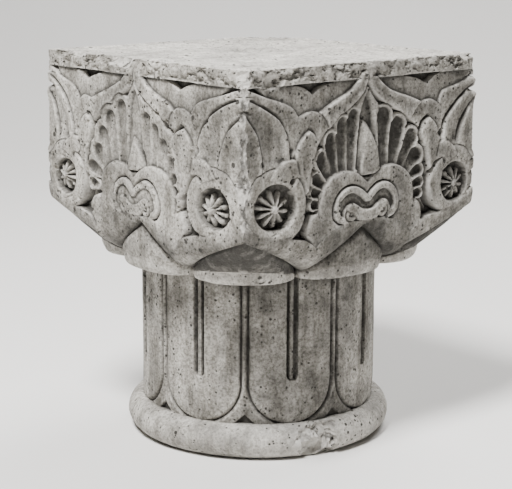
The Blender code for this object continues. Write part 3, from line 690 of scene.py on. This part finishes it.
def leafShare(angle):
    nearest = np.minimum(angle, np.pi / 4 - angle) / (np.pi / 8)
    middle = np.sqrt(np.clip(1 - np.abs(nearest) ** 4, 0, 1))
    corner = np.clip(1 - np.abs(nearest) ** 2.4, 0, 1) ** 0.6
    return np.where(angle > np.pi / 8, corner, middle)


def buildRows():
    # every row is (x, y, z, dirt and painted shade, worn edge and painted highlight) over all columns, from
    # the underside up
    columns = np.arange(4 * faceColumns)
    face = columns // faceColumns
    share = (columns % faceColumns) / faceColumns * 2 - 1
    # columns gather a little at the corners
    u = stone["half"] * np.sin(share * np.pi / 2 * 0.62) / np.sin(np.pi / 2 * 0.62)
    angle = np.arctan2(u, stone["half"])
    azimuth = face * np.pi / 2 + angle
    nearAngle = np.abs(angle)
    turn = math.radians(stone["footTurn"])
    drum = stone["drumRadius"]
    rows = []

    def addRound(radius, z, dirtAndShade, twist, wornAndLit=0.0):
        a = azimuth + twist
        stain = 0.9 * grain(z, 105, 13) + 0.5 * grain(z, 106, 4)
        x, y = radius * np.sin(a), -radius * np.cos(a)
        rows.append((x, y, z + 0 * a, dirtAndShade + stain, wornAndLit * (1 - 2.5 * stain)))

    along = drum * azimuth - drum * np.pi / 8
    # painted shade, with some patina: darkest on the side between the near corner and the front face, the
    # side turned from the key light
    patinaAndShade = np.exp(-((np.degrees(np.angle(np.exp(1j * (azimuth - math.radians(-10))))) / 34) ** 2))

    def grain(z, seed, scale):
        return layeredNoise(along + 1000, z + 0 * along, scale, seed) - 0.5

    half = stone["rollHeight"] / 2
    centre = stone["rollRadius"] - half
    addRound(0.02 * centre, 0.0, 0.5, turn)
    addRound(0.6 * centre, 0.0, 0.5, turn)
    for step in range(27):
        t = math.radians(-82 + step * (82 + 78) / 26)
        radius = centre + half * math.cos(t)
        z = max(half + half * math.sin(t), 0.0)
        rough = 1.1 * grain(z, 91, 16) + 0.4 * grain(z, 92, 3)
        # painted contact shadow along the roll's foot below 5 mm; the pale worn tint here is wear plus
        # painted light, strongest on the side turned from the key light
        addRound(radius + rough - 0.4, z, 0.15 + 0.3 * (z < 5), turn, 0.2 + 0.5 * patinaAndShade)
    for z in np.arange(28.6, stone["drumTop"] + 0.6, 1.1):
        height, bar = drumHeight(along, z)
        radius = drum + height + 0.9 * grain(z, 93, 30) + 0.35 * grain(z, 94, 4)
        # painted shade with dirt: darker in the grooves and slots, on the side turned from the key light,
        # and towards the drum's top under the leaves
        deep = np.clip(-height / 3.2, 0, 1) * (1 - 0.75 * bar)
        addRound(radius, z, 0.29 + 0.85 * deep + 0.36 * patinaAndShade + 0.35 * (z > 142) * (z - 142) / 10, turn)
    # leaves; their underside shelf carries painted shade, darkest next to the drum
    leaf = leafShare(nearAngle)
    centreReach = stone["half"] - stone["centreLeafSetback"] - drum
    reach = np.where(nearAngle < np.pi / 8, centreReach, stone["cornerLeafReach"])
    heightTop, _ = drumHeight(along, stone["drumTop"])
    tongue = np.where(nearAngle > np.pi / 8, 3.0 * np.exp(-(((np.pi / 4 - nearAngle) * drum) / 11) ** 2), 0)
    under = stone["drumTop"] + 1.0
    for k in np.linspace(0, 0.86, 9):
        fade = max(0.0, 1 - k * 6)
        z = under + 0.8 * k - tongue * np.sin(np.pi * min(k / 0.6, 1)) * 0.8
        radius = drum + heightTop * fade + reach * leaf * k + 0.5 * grain(150 + 20 * k, 95, 9)
        addRound(radius, z, 0.9 - 0.2 * k, turn)
    # rounded lip, darker towards its lower edge
    lipRise = np.where(nearAngle < np.pi / 8, 9.5, 12.0)
    for k in np.linspace(0.06, 1, 9):
        t = k * np.pi / 2
        radius = drum + reach * leaf * (0.86 + 0.14 * math.sin(t))
        z = under + 0.7 + lipRise * leaf * (1 - math.cos(t)) * 0.8 + 1.2 * k
        ragged = np.where(nearAngle > np.pi / 8, 5.0 * np.clip(grain(165 + 10 * k, 104, 10), -0.4, 0.05), 0)
        addRound(radius + ragged + 0.7 * grain(165 + 10 * k, 96, 14), z, 0.35 - 0.25 * k, turn, 0.3)
    lipRadius = drum + reach * leaf
    lipZ = under + 0.7 + lipRise * leaf * 0.8 + 1.2
    # front of each leaf up to where it slips under the skirt; its shade is painted shade with some dirt,
    # dark on the corner leaves under the block and darkest where each leaf slips under the skirt
    pendantShare = np.abs(nearAngle - np.pi / 8) / (np.pi / 8)
    nearPendant = 1 - pendantShare
    cornerRadius = stone["half"] * math.sqrt(2) - 4.5
    central = nearAngle < np.pi / 8
    startRadius = np.where(central, drum + centreReach * leaf - 0.5 * leaf,
                           drum + (cornerRadius - drum) * pendantShare**0.9)
    startZ = np.where(central, stone["pendantZ"] + (stone["archZ"] - stone["pendantZ"]) * pendantShare,
                      stone["pendantZ"] + (stone["cornerZ"] - stone["pendantZ"]) * pendantShare)
    for k in np.linspace(0.06, 0.985, 16):
        radius = lipRadius + (startRadius - lipRadius) * k
        swell = 1.8 * np.sin(np.pi * k) * leaf
        z = lipZ + (startZ - lipZ) * k
        twist = turn * (1 - k) + turn * nearPendant * k
        tuck = 2.6 * smoothStep(k, 0.86, 0.985) * leaf
        rough = 0.9 * grain(170 + 30 * k, 97, 18) + 0.3 * grain(170 + 30 * k, 98, 3)
        cloud = grain(170 + 30 * k, 102, 13)
        cornerShade = 1.05 + 0.45 * smoothStep(k, 0.10, 0.80) + 0.8 * cloud
        shade = np.where(nearAngle > np.pi / 8, cornerShade, 0.34 + 0.2 * patinaAndShade)
        shade = shade + 0.85 * smoothStep(k, 0.80, 0.98)
        lump = np.where(nearAngle > np.pi / 8, 2.6 * grain(170 + 30 * k, 103, 9), 0) * smoothStep(k, 0, 0.2)
        addRound(radius + swell - tuck + rough + np.clip(lump, -2, 1.2), z, shade, twist)
    # skirt that curves out under the block
    outer = stone["half"] - 0.6
    drawn = np.zeros_like(u)
    for f in range(4):
        drawn = np.where(face == f, np.interp(u, faces[f]["skirt"][1], faces[f]["skirt"][0]), drawn)
    edgeZ = skirtEdgeAt(drawn)
    edgeRadius = outer / np.cos(angle)
    for k in np.linspace(0.0, 1, 34):
        t = k * np.pi / 2
        radius = startRadius + (edgeRadius - startRadius) * math.sin(t) ** 0.9
        z = edgeZ + (startZ - edgeZ) * math.cos(t)
        rough = 0.8 * grain(200 + 40 * k, 99, 20) + 0.3 * grain(200 + 40 * k, 101, 3)
        # painted shade, darkest on the skirt's underside next to the leaves
        shade = 0.45 * (1 - k) + 0.43 + 0.14 * patinaAndShade
        addRound(radius + rough * min(1, 6 * k) * (1 - k**6), z, shade, turn * nearPendant * (1 - k))
    print("foot rows", len(rows))
    # block faces
    ground = stone["half"] - stone["reliefDepth"]
    zTop = stone["height"]
    blockRows = 290
    for step in range(1, blockRows + 1):
        k = step / blockRows
        z = edgeZ + (zTop - 0.9 - edgeZ) * k
        heights = np.zeros_like(u)
        dirtAndShade = np.zeros_like(u)
        edges = np.zeros_like(u)
        for f in range(4):
            pick = face == f
            heights[pick], dirtAndShade[pick], edges[pick] = faceHeight(f, u[pick], z[pick])
        start = smoothStep(k, 0.0, 0.012)
        heights = heights * start + 9.4 * (1 - start)
        # ragged upper arris of the abacus
        rag = smoothStep(z, zTop - 7, zTop)
        heights = heights - rag * 5.0 * smoothStep(layeredNoise(azimuth * 125 + 900, z, 9, 112), 0.42, 0.85)
        # first column of each face is the corner that two faces share
        first = heights[::faceColumns]
        x, y = blockPoint(u, heights, face, first, ground)
        rows.append((x, y, z, dirtAndShade, edges))
    # top, roughly dressed
    lastX, lastY = rows[-1][:2]
    topRows = 84
    for step in range(1, topRows + 1):
        k = step / topRows
        keep = max(1 - k, 0.002)
        x, y = lastX * keep, lastY * keep
        z = topHeight(x, y, k)
        tool = layeredNoise(x * 0.5 + 800, y * 1.8 + 800, 5, 142, 4)
        topDirt = 0.10 + 0.9 * topMark(x, y) + 0.9 * np.clip(0.46 - tool, 0, 1) * 2
        topWear = 0.25 + 0.5 * layeredNoise(x * 0.6 + 300, y * 2 + 300, 12, 141)
        rows.append((x, y, z, topDirt, topWear))
    return rows


def blockPoint(u, heights, face, first, ground):
    # position on a face; close to a corner the point is drawn in by the neighbour face's height
    near = np.abs(u) / stone["half"]
    nextFirst = np.roll(first, -1)
    corner = np.where(u < 0, first[face], nextFirst[face])
    squeeze = smoothStep(near, 0.86, 1.0)
    cornerLoss = stone["reliefDepth"] - corner
    own = heights * (1 - squeeze) + (corner * squeeze + heights * (1 - squeeze)) * squeeze
    across = u * (1 - cornerLoss * squeeze / stone["half"])
    out = ground + own
    a = face * np.pi / 2
    return across * np.cos(a) + out * np.sin(a), across * np.sin(a) - out * np.cos(a)


top = {"mark": (20.0, 21.0), "markRadius": 22.0, "markDepth": 4.5, "roughness": 2.6}


def topMark(x, y):
    # shallow broken socket near the middle of the bearing face
    du, dv = x - top["mark"][0], y - top["mark"][1]
    wobble = 9 * (layeredNoise(x + 500, y + 500, 14, 131) - 0.5)
    radius = np.hypot(du, dv * 1.3) + wobble
    ring = np.exp(-(((radius - top["markRadius"]) / 3.0) ** 2))
    return ring * smoothStep(layeredNoise(x + 200, y + 200, 18, 132), 0.35, 0.6)


def topHeight(x, y, k):
    rough = layeredNoise(x + 600, y + 600, 26, 121, 5)
    ridges = layeredNoise(x * 0.5 + 600, y * 2.2 + 600, 7, 122, 3)
    edge = smoothStep(np.array(k), 0.0, 0.06)
    drop = top["roughness"] * rough * edge + 1.9 * ridges * edge + 0.9 * (1 - edge) - 0.8
    return stone["height"] - np.clip(drop, 0.05, None) - top["markDepth"] * topMark(x, y)


def carveLoss(points, centre, size, seed, ragged):
    # breaks a shallow bowl out: points inside a rough ellipsoid are pushed back to its far wall
    centre, size = np.array(centre, float), np.array(size, float)
    inward = -centre / np.linalg.norm(centre)
    if abs(centre[2] - stone["height"]) < 30:
        inward = np.array([-centre[0], -centre[1], -60.0])
        inward = inward / np.linalg.norm(inward)
    if centre[2] < 30:
        inward = np.array([-centre[0], -centre[1], 0.0])
        inward = inward / np.linalg.norm(inward)
    near = np.all(np.abs(points - centre) < size * 1.6 + 6, axis=1)
    p = points[near]
    noise = layeredNoise(p[:, 0] + p[:, 1] * 0.7 + 800, p[:, 2] + p[:, 1] * 0.4 + 800, 7, seed, 4) - 0.5
    q = (p - centre) / size
    d = inward / size
    reach = 1 + ragged * noise * 0.35
    a = d @ d
    b = q @ d
    c = (q * q).sum(1) - reach**2
    inside = c < 0
    root = np.sqrt(np.clip(b * b - a * c, 0, None))
    travel = (-b + root) / a
    p = p + np.where(inside, travel, 0)[:, None] * inward
    points[near] = p
    hit = np.zeros(len(points), bool)
    hit[np.flatnonzero(near)[inside]] = True
    return hit


losses = (
    # where the stone is broken: centre, half sizes, seed, raggedness
    ((-129, -129, 322), (9, 14, 9), 201, 1.8),
    ((-131, 26, 327), (9.5, 27, 9.5), 205, 1.8),
    ((-131, -22, 329), (6.5, 22, 8), 206, 1.8),
    ((-130, 92, 328), (6, 26, 7), 207, 1.8),
    ((-100, -132, 316), (17, 10, 7), 208, 1.8),
    ((20, -131, 329), (60, 5.5, 6), 209, 1.8),
    ((118, -131, 326), (16, 6, 8), 210, 1.8),
    ((131, -131, 318), (6, 6, 10), 211, 1.8),
    ((131, -60, 328), (7, 24, 8), 212, 1.8),
    ((70, 131, 328), (30, 7, 8), 213, 1.8),
    ((-60, 131, 327), (22, 7, 9), 214, 1.8),
    ((-132, 131, 300), (5, 5, 16), 215, 1.8),
    ((-35, -111, 8), (22, 11, 20), 216, 3.6),
    ((-22, -108, 24), (13, 7, 8), 218, 3.6),
    ((-46, -108, 22), (9, 6, 8), 219, 3.6),
    ((-24, -113, 3), (11, 7, 8), 220, 3.6),
    ((-99, -78, 160), (9, 7, 6), 222, 1.8),
    ((-84, -97, 159), (7, 7, 5), 223, 1.8),
    ((114, 20, 5), (6, 14, 9), 217, 1.8),
)


def farCornerBreak(points):
    # the rear corner of the abacus is lost: points beyond a leaning plane fall back onto it
    normal = np.array([1.0, 1.0, 0.0]) / math.sqrt(2)
    across = points @ normal
    along, z = points[:, 0] - points[:, 1], points[:, 2]
    rough = 5.0 * (layeredNoise(along + 900, z * 1.5 + 900, 13, 221, 4) - 0.5)
    depth = stone["height"] - z
    limit = stone["half"] * math.sqrt(2) - 33 + 0.9 * np.clip(depth, 0, 60) + rough
    over = np.clip(across - limit, 0, None)
    points -= over[:, None] * normal
    return over > 0.2


def nearCornerWear(points):
    # the arris that faces the viewer is knocked off along its whole height, most near the top
    z = points[:, 2]
    across = -(points[:, 0] + points[:, 1]) / math.sqrt(2)
    rough = layeredNoise(points[:, 0] - points[:, 1] + 900, z + 900, 9, 231, 4)
    slow = valueNoise(z, 0 * z + 50, 16, 232)
    fine = layeredNoise(points[:, 0] * 1.3 - points[:, 1] + 700, z + 500, 3.2, 233, 3)
    loss = (2.6 + 5.2 * slow + 5.5 * (rough - 0.5)) * smoothStep(z, 200, 214)
    loss = loss + 3.0 * smoothStep(z, 288, 306) + 2.6 * (fine - 0.5)
    limit = stone["half"] * math.sqrt(2) - np.clip(loss, 0.2, None)
    over = np.clip(across - limit, 0, None)
    over = np.where(z > 195, over, 0)
    points[:, 0] += over / math.sqrt(2)
    points[:, 1] += over / math.sqrt(2)
    return np.where(over > 0.15, 0.12 + 0.60 * smoothStep(fine, 0.35, 0.65), 0)


def buildCapital():
    rows = buildRows()
    count = 4 * faceColumns
    fields = [np.concatenate([np.broadcast_to(row[i], (count,)) for row in rows]) for i in range(5)]
    points = np.stack(fields[:3], 1)
    dirtAndShade, edge = fields[3:]
    fresh = np.zeros(len(points))
    hit = farCornerBreak(points)
    fresh[hit] = 1
    corner = nearCornerWear(points)
    fresh = np.maximum(fresh, corner)
    dirtAndShade = np.where(corner > 0, 0.48 + 0.5 * (corner < 0.4), dirtAndShade)
    for centre, size, seed, ragged in losses:
        hit = carveLoss(points, centre, size, seed, ragged)
        broken = layeredNoise(points[hit, 0] + points[hit, 1] + 900, points[hit, 2] + 900, 4, seed + 40, 3)
        fresh[hit] = smoothStep(broken, 0.35, 0.6)
        dirtAndShade[hit] = 0.2 + 0.8 * (1 - smoothStep(broken, 0.28, 0.42))
    # nothing leaves the stone's own box
    limit = stone["half"] - 0.02
    points[:, :2] = np.clip(points[:, :2], -limit, limit)
    points[:, 2] = np.clip(points[:, 2], 0.0, stone["height"] - 0.02)
    rowCount = len(rows)
    index = np.arange(rowCount * count).reshape(rowCount, count)
    nextColumn = np.roll(index, -1, axis=1)
    quads = np.stack([index[:-1], nextColumn[:-1], nextColumn[1:], index[1:]], -1).reshape(-1, 4)
    mesh = bpy.data.meshes.new("capitalMarble")
    vertCount = len(points)
    mesh.vertices.add(vertCount)
    mesh.vertices.foreach_set("co", (points * mm).astype(np.float32).ravel())
    caps = [index[0][::-1], index[-1]]
    loops = np.concatenate([quads.ravel(), *caps])
    starts = np.concatenate([np.arange(len(quads)) * 4, [len(quads) * 4, len(quads) * 4 + count]])
    totals = np.concatenate([np.full(len(quads), 4), [count, count]])
    mesh.loops.add(len(loops))
    mesh.loops.foreach_set("vertex_index", loops.astype(np.int32))
    mesh.polygons.add(len(starts))
    mesh.polygons.foreach_set("loop_start", starts.astype(np.int32))
    mesh.polygons.foreach_set("loop_total", totals.astype(np.int32))
    mesh.update(calc_edges=True)
    mesh.validate()
    for name, values in (("dirtAndShade", dirtAndShade), ("fresh", fresh), ("edge", edge)):
        layer = mesh.attributes.new(name, "FLOAT", "POINT")
        layer.data.foreach_set("value", np.clip(values, 0, 1).astype(np.float32))
    piece = bpy.data.objects.new("capitalMarble", mesh)
    bpy.context.scene.collection.objects.link(piece)
    triangles = 2 * len(quads)
    thin = piece.modifiers.new("thin", "DECIMATE")
    thin.ratio = targetTriangles / triangles
    graph = bpy.context.evaluated_depsgraph_get()
    thinned = bpy.data.meshes.new_from_object(piece.evaluated_get(graph), depsgraph=graph)
    piece.modifiers.clear()
    piece.data = thinned
    bpy.data.meshes.remove(mesh)
    thinned.name = "capitalMarble"
    thinned.shade_smooth()
    thinned.set_sharp_from_angle(angle=math.radians(42))
    print("capital mesh", triangles, "->", sum(len(p.vertices) - 2 for p in thinned.polygons))
    return piece


capital = buildCapital()
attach(capital, "root")
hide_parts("capital")


# marble
def newGroup(name, inputs, outputs):
    group = bpy.data.node_groups.new(name, "ShaderNodeTree")
    for label, kind, value in inputs:
        socket = group.interface.new_socket(label, in_out="INPUT", socket_type=kind)
        if value is not None:
            socket.default_value = value
    for label, kind in outputs:
        group.interface.new_socket(label, in_out="OUTPUT", socket_type=kind)
    return group, group.nodes.new("NodeGroupInput"), group.nodes.new("NodeGroupOutput")


def addNode(tree, kind, **settings):
    node = tree.nodes.new(kind)
    for key, value in settings.items():
        if key in node.inputs:
            node.inputs[key].default_value = value
        else:
            setattr(node, key, value)
    return node


def ramp(tree, source, low, high, lowColour=(0, 0, 0, 1), highColour=(1, 1, 1, 1)):
    node = tree.nodes.new("ShaderNodeValToRGB")
    node.color_ramp.elements[0].position = low
    node.color_ramp.elements[1].position = high
    node.color_ramp.elements[0].color = lowColour
    node.color_ramp.elements[1].color = highColour
    tree.links.new(source, node.inputs["Fac"])
    return node.outputs["Color"]


def feed(tree, socket, value):
    # links a socket, or sets it when the value is a plain number or colour
    if isinstance(value, bpy.types.NodeSocket):
        tree.links.new(value, socket)
    else:
        socket.default_value = value


def mixColour(tree, factor, first, second, mode="MIX"):
    node = tree.nodes.new("ShaderNodeMix")
    node.data_type = "RGBA"
    node.blend_type = mode
    for position, value in ((0, factor), (6, first), (7, second)):
        feed(tree, node.inputs[position], value)
    return node.outputs[2]


def maths(tree, operation, first, second, clamp=False):
    node = tree.nodes.new("ShaderNodeMath")
    node.operation = operation
    node.use_clamp = clamp
    feed(tree, node.inputs[0], first)
    feed(tree, node.inputs[1], second)
    return node.outputs[0]


def noiseAt(tree, place, **settings):
    node = addNode(tree, "ShaderNodeTexNoise", **settings)
    tree.links.new(place, node.inputs["Vector"])
    return node.outputs["Fac"]


def readAttribute(tree, name):
    return addNode(tree, "ShaderNodeAttribute", attribute_name=name).outputs["Fac"]


def stonePits():
    # dark pinholes and small pits, as a mask and a depth
    inputs = [("Vector", "NodeSocketVector", None), ("Scale", "NodeSocketFloat", 420.0),
              ("Amount", "NodeSocketFloat", 0.5)]
    group, source, result = newGroup("stonePits", inputs, [("Mask", "NodeSocketFloat")])
    cells = group.nodes.new("ShaderNodeTexVoronoi")
    cells.feature = "F1"
    group.links.new(source.outputs["Vector"], cells.inputs["Vector"])
    group.links.new(source.outputs["Scale"], cells.inputs["Scale"])
    parts = group.nodes.new("ShaderNodeSeparateColor")
    group.links.new(cells.outputs["Color"], parts.inputs["Color"])
    spread = noiseAt(group, source.outputs["Vector"], Scale=30.0, Detail=3.0)
    chance = maths(group, "ADD", parts.outputs[0], maths(group, "MULTIPLY", spread, 0.5))
    size = maths(group, "MULTIPLY", maths(group, "SUBTRACT", chance, 0.92, True), source.outputs["Amount"])
    ragged = noiseAt(group, source.outputs["Vector"], Scale=900.0, Detail=2.0)
    distance = maths(group, "ADD", cells.outputs["Distance"], maths(group, "MULTIPLY", ragged, 0.16))
    near = maths(group, "SUBTRACT", maths(group, "ADD", size, 0.06), distance)
    mask = maths(group, "MULTIPLY", near, 12.0, True)
    group.links.new(mask, result.inputs["Mask"])
    return group


marbleLook = {
    "light": (0.47, 0.449, 0.408, 1),
    "dark": (0.135, 0.127, 0.111, 1),
    # the soil tint is also the colour of the painted shade
    "soilAndShade": (0.024, 0.022, 0.019, 1),
    "fresh": (0.66, 0.635, 0.59, 1),
    # the worn tint is also the colour of painted highlights on edges and painted light on the roll
    "wornAndLit": (0.74, 0.715, 0.67, 1),
    "pit": (0.030, 0.028, 0.024, 1),
    "streak": ((0.60, 0.59, 0.57, 1), (1.06, 1.06, 1.06, 1)),      # darkest and lightest factor
    "speckle": ((0.50, 0.49, 0.47, 1), (1.18, 1.18, 1.18, 1)),
    "rough": ((0.72, 0.72, 0.72, 1), (0.92, 0.92, 0.92, 1)),
    "pitCells": ((125.0, 0.84), (340.0, 1.35)),      # cells per metre and size
    "bumpStrength": 0.8,
    "bumpDepth": 0.0013,
}


def makeMarble():
    material = bpy.data.materials.new("weatheredMarble")
    material.use_nodes = True
    tree = material.node_tree
    shader = tree.nodes["Principled BSDF"]
    shader.inputs["Specular IOR Level"].default_value = 0.28
    place = tree.nodes.new("ShaderNodeTexCoord").outputs["Object"]
    clouds = noiseAt(tree, place, Scale=16.0, Detail=7.0, Roughness=0.62)
    mottle = noiseAt(tree, place, Scale=85.0, Detail=7.0, Roughness=0.7)
    grain = noiseAt(tree, place, Scale=900.0, Detail=3.0, Roughness=0.6)
    light = marbleLook["light"]
    base = mixColour(tree, ramp(tree, clouds, 0.34, 0.62), marbleLook["dark"], light)
    base = mixColour(tree, maths(tree, "MULTIPLY", ramp(tree, mottle, 0.42, 0.60), 0.5), base, light)
    stretch = addNode(tree, "ShaderNodeMapping", Scale=(1.0, 1.0, 0.16))
    tree.links.new(place, stretch.inputs["Vector"])
    streaks = noiseAt(tree, stretch.outputs["Vector"], Scale=95.0, Detail=5.0, Roughness=0.65)
    base = mixColour(tree, 1.0, base, ramp(tree, streaks, 0.36, 0.56, *marbleLook["streak"]), "MULTIPLY")
    speckle = noiseAt(tree, place, Scale=430.0, Detail=4.0, Roughness=0.7)
    base = mixColour(tree, 1.0, base, ramp(tree, speckle, 0.37, 0.58, *marbleLook["speckle"]), "MULTIPLY")
    # soil and painted shade in the hollows and undersides, pale breaks, and pale worn edges with painted
    # highlights come from the mesh
    patchy = maths(tree, "MULTIPLY", ramp(tree, mottle, 0.30, 0.70), 0.8)
    soilAndShade = maths(tree, "SUBTRACT", readAttribute(tree, "dirtAndShade"), 0.25)
    soilAndShade = maths(tree, "MULTIPLY", soilAndShade, maths(tree, "ADD", patchy, 0.9), True)
    for mask, amount, tint in ((soilAndShade, 0.94, "soilAndShade"), (readAttribute(tree, "fresh"), 0.6, "fresh"),
                               (readAttribute(tree, "edge"), 0.42, "wornAndLit")):
        base = mixColour(tree, maths(tree, "MULTIPLY", mask, amount), base, marbleLook[tint])
    pitGroup = stonePits()
    pits = []
    for scale, amount in marbleLook["pitCells"]:
        node = addNode(tree, "ShaderNodeGroup", node_tree=pitGroup)
        node.inputs["Scale"].default_value = scale
        node.inputs["Amount"].default_value = amount
        tree.links.new(place, node.inputs["Vector"])
        pits.append(node.outputs["Mask"])
    holes = maths(tree, "MAXIMUM", pits[0], pits[1])
    base = mixColour(tree, maths(tree, "MULTIPLY", holes, 0.92), base, marbleLook["pit"])
    tree.links.new(base, shader.inputs["Base Color"])
    tree.links.new(ramp(tree, mottle, 0.3, 0.7, *marbleLook["rough"]), shader.inputs["Roughness"])
    height = maths(tree, "ADD", maths(tree, "MULTIPLY", mottle, 0.9), maths(tree, "MULTIPLY", grain, 0.35))
    height = maths(tree, "SUBTRACT", height, maths(tree, "MULTIPLY", holes, 1.2))
    bump = addNode(tree, "ShaderNodeBump", Strength=marbleLook["bumpStrength"],
                   Distance=marbleLook["bumpDepth"])
    tree.links.new(height, bump.inputs["Height"])
    tree.links.new(bump.outputs["Normal"], shader.inputs["Normal"])
    return material


marble = makeMarble()
capital.data.materials.clear()
capital.data.materials.append(marble)
print("marble material done")


# studio
studio = {
    "floor": (0.80, 0.785, 0.76, 1),
    "sweepStart": 1.3,      # where the floor begins to rise, metres behind the object
    "sweepRadius": 1.7,
    # name, place, size, watts
    "lights": (
        ("keyLight", (-1.00, -0.36, 1.95), 0.5, 112.0),
        ("backLight", (1.25, 0.30, 2.10), 1.3, 66.0),
    ),
    "world": 0.06,
}


def plainMaterial(name, colour):
    material = bpy.data.materials.new(name)
    material.use_nodes = True
    shader = material.node_tree.nodes["Principled BSDF"]
    shader.inputs["Base Color"].default_value = colour
    shader.inputs["Roughness"].default_value = 0.95
    shader.inputs["Specular IOR Level"].default_value = 0.1
    return material


def makeFloor():
    # floor that sweeps up into the backdrop behind the object
    away = cameraFit["azimuth"] + math.pi
    direction = np.array([math.sin(away), -math.cos(away)])
    side = np.array([direction[1], -direction[0]])
    begin, bend = studio["sweepStart"], studio["sweepRadius"]
    profile = [(-3.0, 0.0), (begin, 0.0)]
    for step in range(1, 13):
        t = step / 12 * math.pi / 2
        profile.append((begin + bend * math.sin(t), bend * (1 - math.cos(t))))
    profile.append((begin + bend, 4.4))
    verts, quads = [], []
    for out, z in profile:
        for width in (-5.0, 5.0):
            spot = direction * out + side * width
            verts.append((spot[0], spot[1], z))
    for i in range(len(profile) - 1):
        quads.append((2 * i, 2 * i + 1, 2 * i + 3, 2 * i + 2))
    mesh = bpy.data.meshes.new("floor")
    mesh.from_pydata(verts, [], quads)
    mesh.shade_smooth()
    floor = bpy.data.objects.new("floor", mesh)
    bpy.context.scene.collection.objects.link(floor)
    floor.data.materials.append(plainMaterial("palePaper", studio["floor"]))


cameraFit = {
    "azimuth": math.radians(-41.268),
    "pitch": math.radians(12.076),
    "distance": 1.3283,
    "targetZ": 0.1581,
    "targetRight": -0.0023,
    "roll": math.radians(0.222),
    "focalPixels": 1529.3,
    "imageWidth": 512,
}


def makeCamera():
    a, e = cameraFit["azimuth"], cameraFit["pitch"]
    back = np.array([math.sin(a) * math.cos(e), -math.cos(a) * math.cos(e), math.sin(e)])
    right = np.array([math.cos(a), math.sin(a), 0.0])
    up = np.cross(back, right)
    place = np.array([0, 0, cameraFit["targetZ"]]) + right * cameraFit["targetRight"]
    place = place + back * cameraFit["distance"]
    r = cameraFit["roll"]
    right, up = right * math.cos(r) + up * math.sin(r), up * math.cos(r) - right * math.sin(r)
    data = bpy.data.cameras.new("camera")
    data.sensor_width = 36.0
    data.lens = 36.0 * cameraFit["focalPixels"] / cameraFit["imageWidth"]
    camera = bpy.data.objects.new("camera", data)
    bpy.context.scene.collection.objects.link(camera)
    matrix = Matrix.Identity(4)
    for column, axis in enumerate((right, up, back)):
        for row in range(3):
            matrix[row][column] = float(axis[row])
    for row in range(3):
        matrix[row][3] = float(place[row])
    camera.matrix_world = matrix
    bpy.context.scene.camera = camera


def makeLight(name, place, size, power):
    data = bpy.data.lights.new(name, "AREA")
    data.size = size
    data.energy = power
    light = bpy.data.objects.new(name, data)
    bpy.context.scene.collection.objects.link(light)
    light.location = place
    aim = Vector((0, 0, 0.16)) - Vector(place)
    light.rotation_euler = aim.to_track_quat("-Z", "Y").to_euler()


makeCamera()
makeFloor()
for lightSettings in studio["lights"]:
    makeLight(*lightSettings)
world = bpy.data.worlds.new("studio")
world.use_nodes = True
world.node_tree.nodes["Background"].inputs["Color"].default_value = (1, 1, 1, 1)
world.node_tree.nodes["Background"].inputs["Strength"].default_value = studio["world"]
bpy.context.scene.world = world
print("studio done")
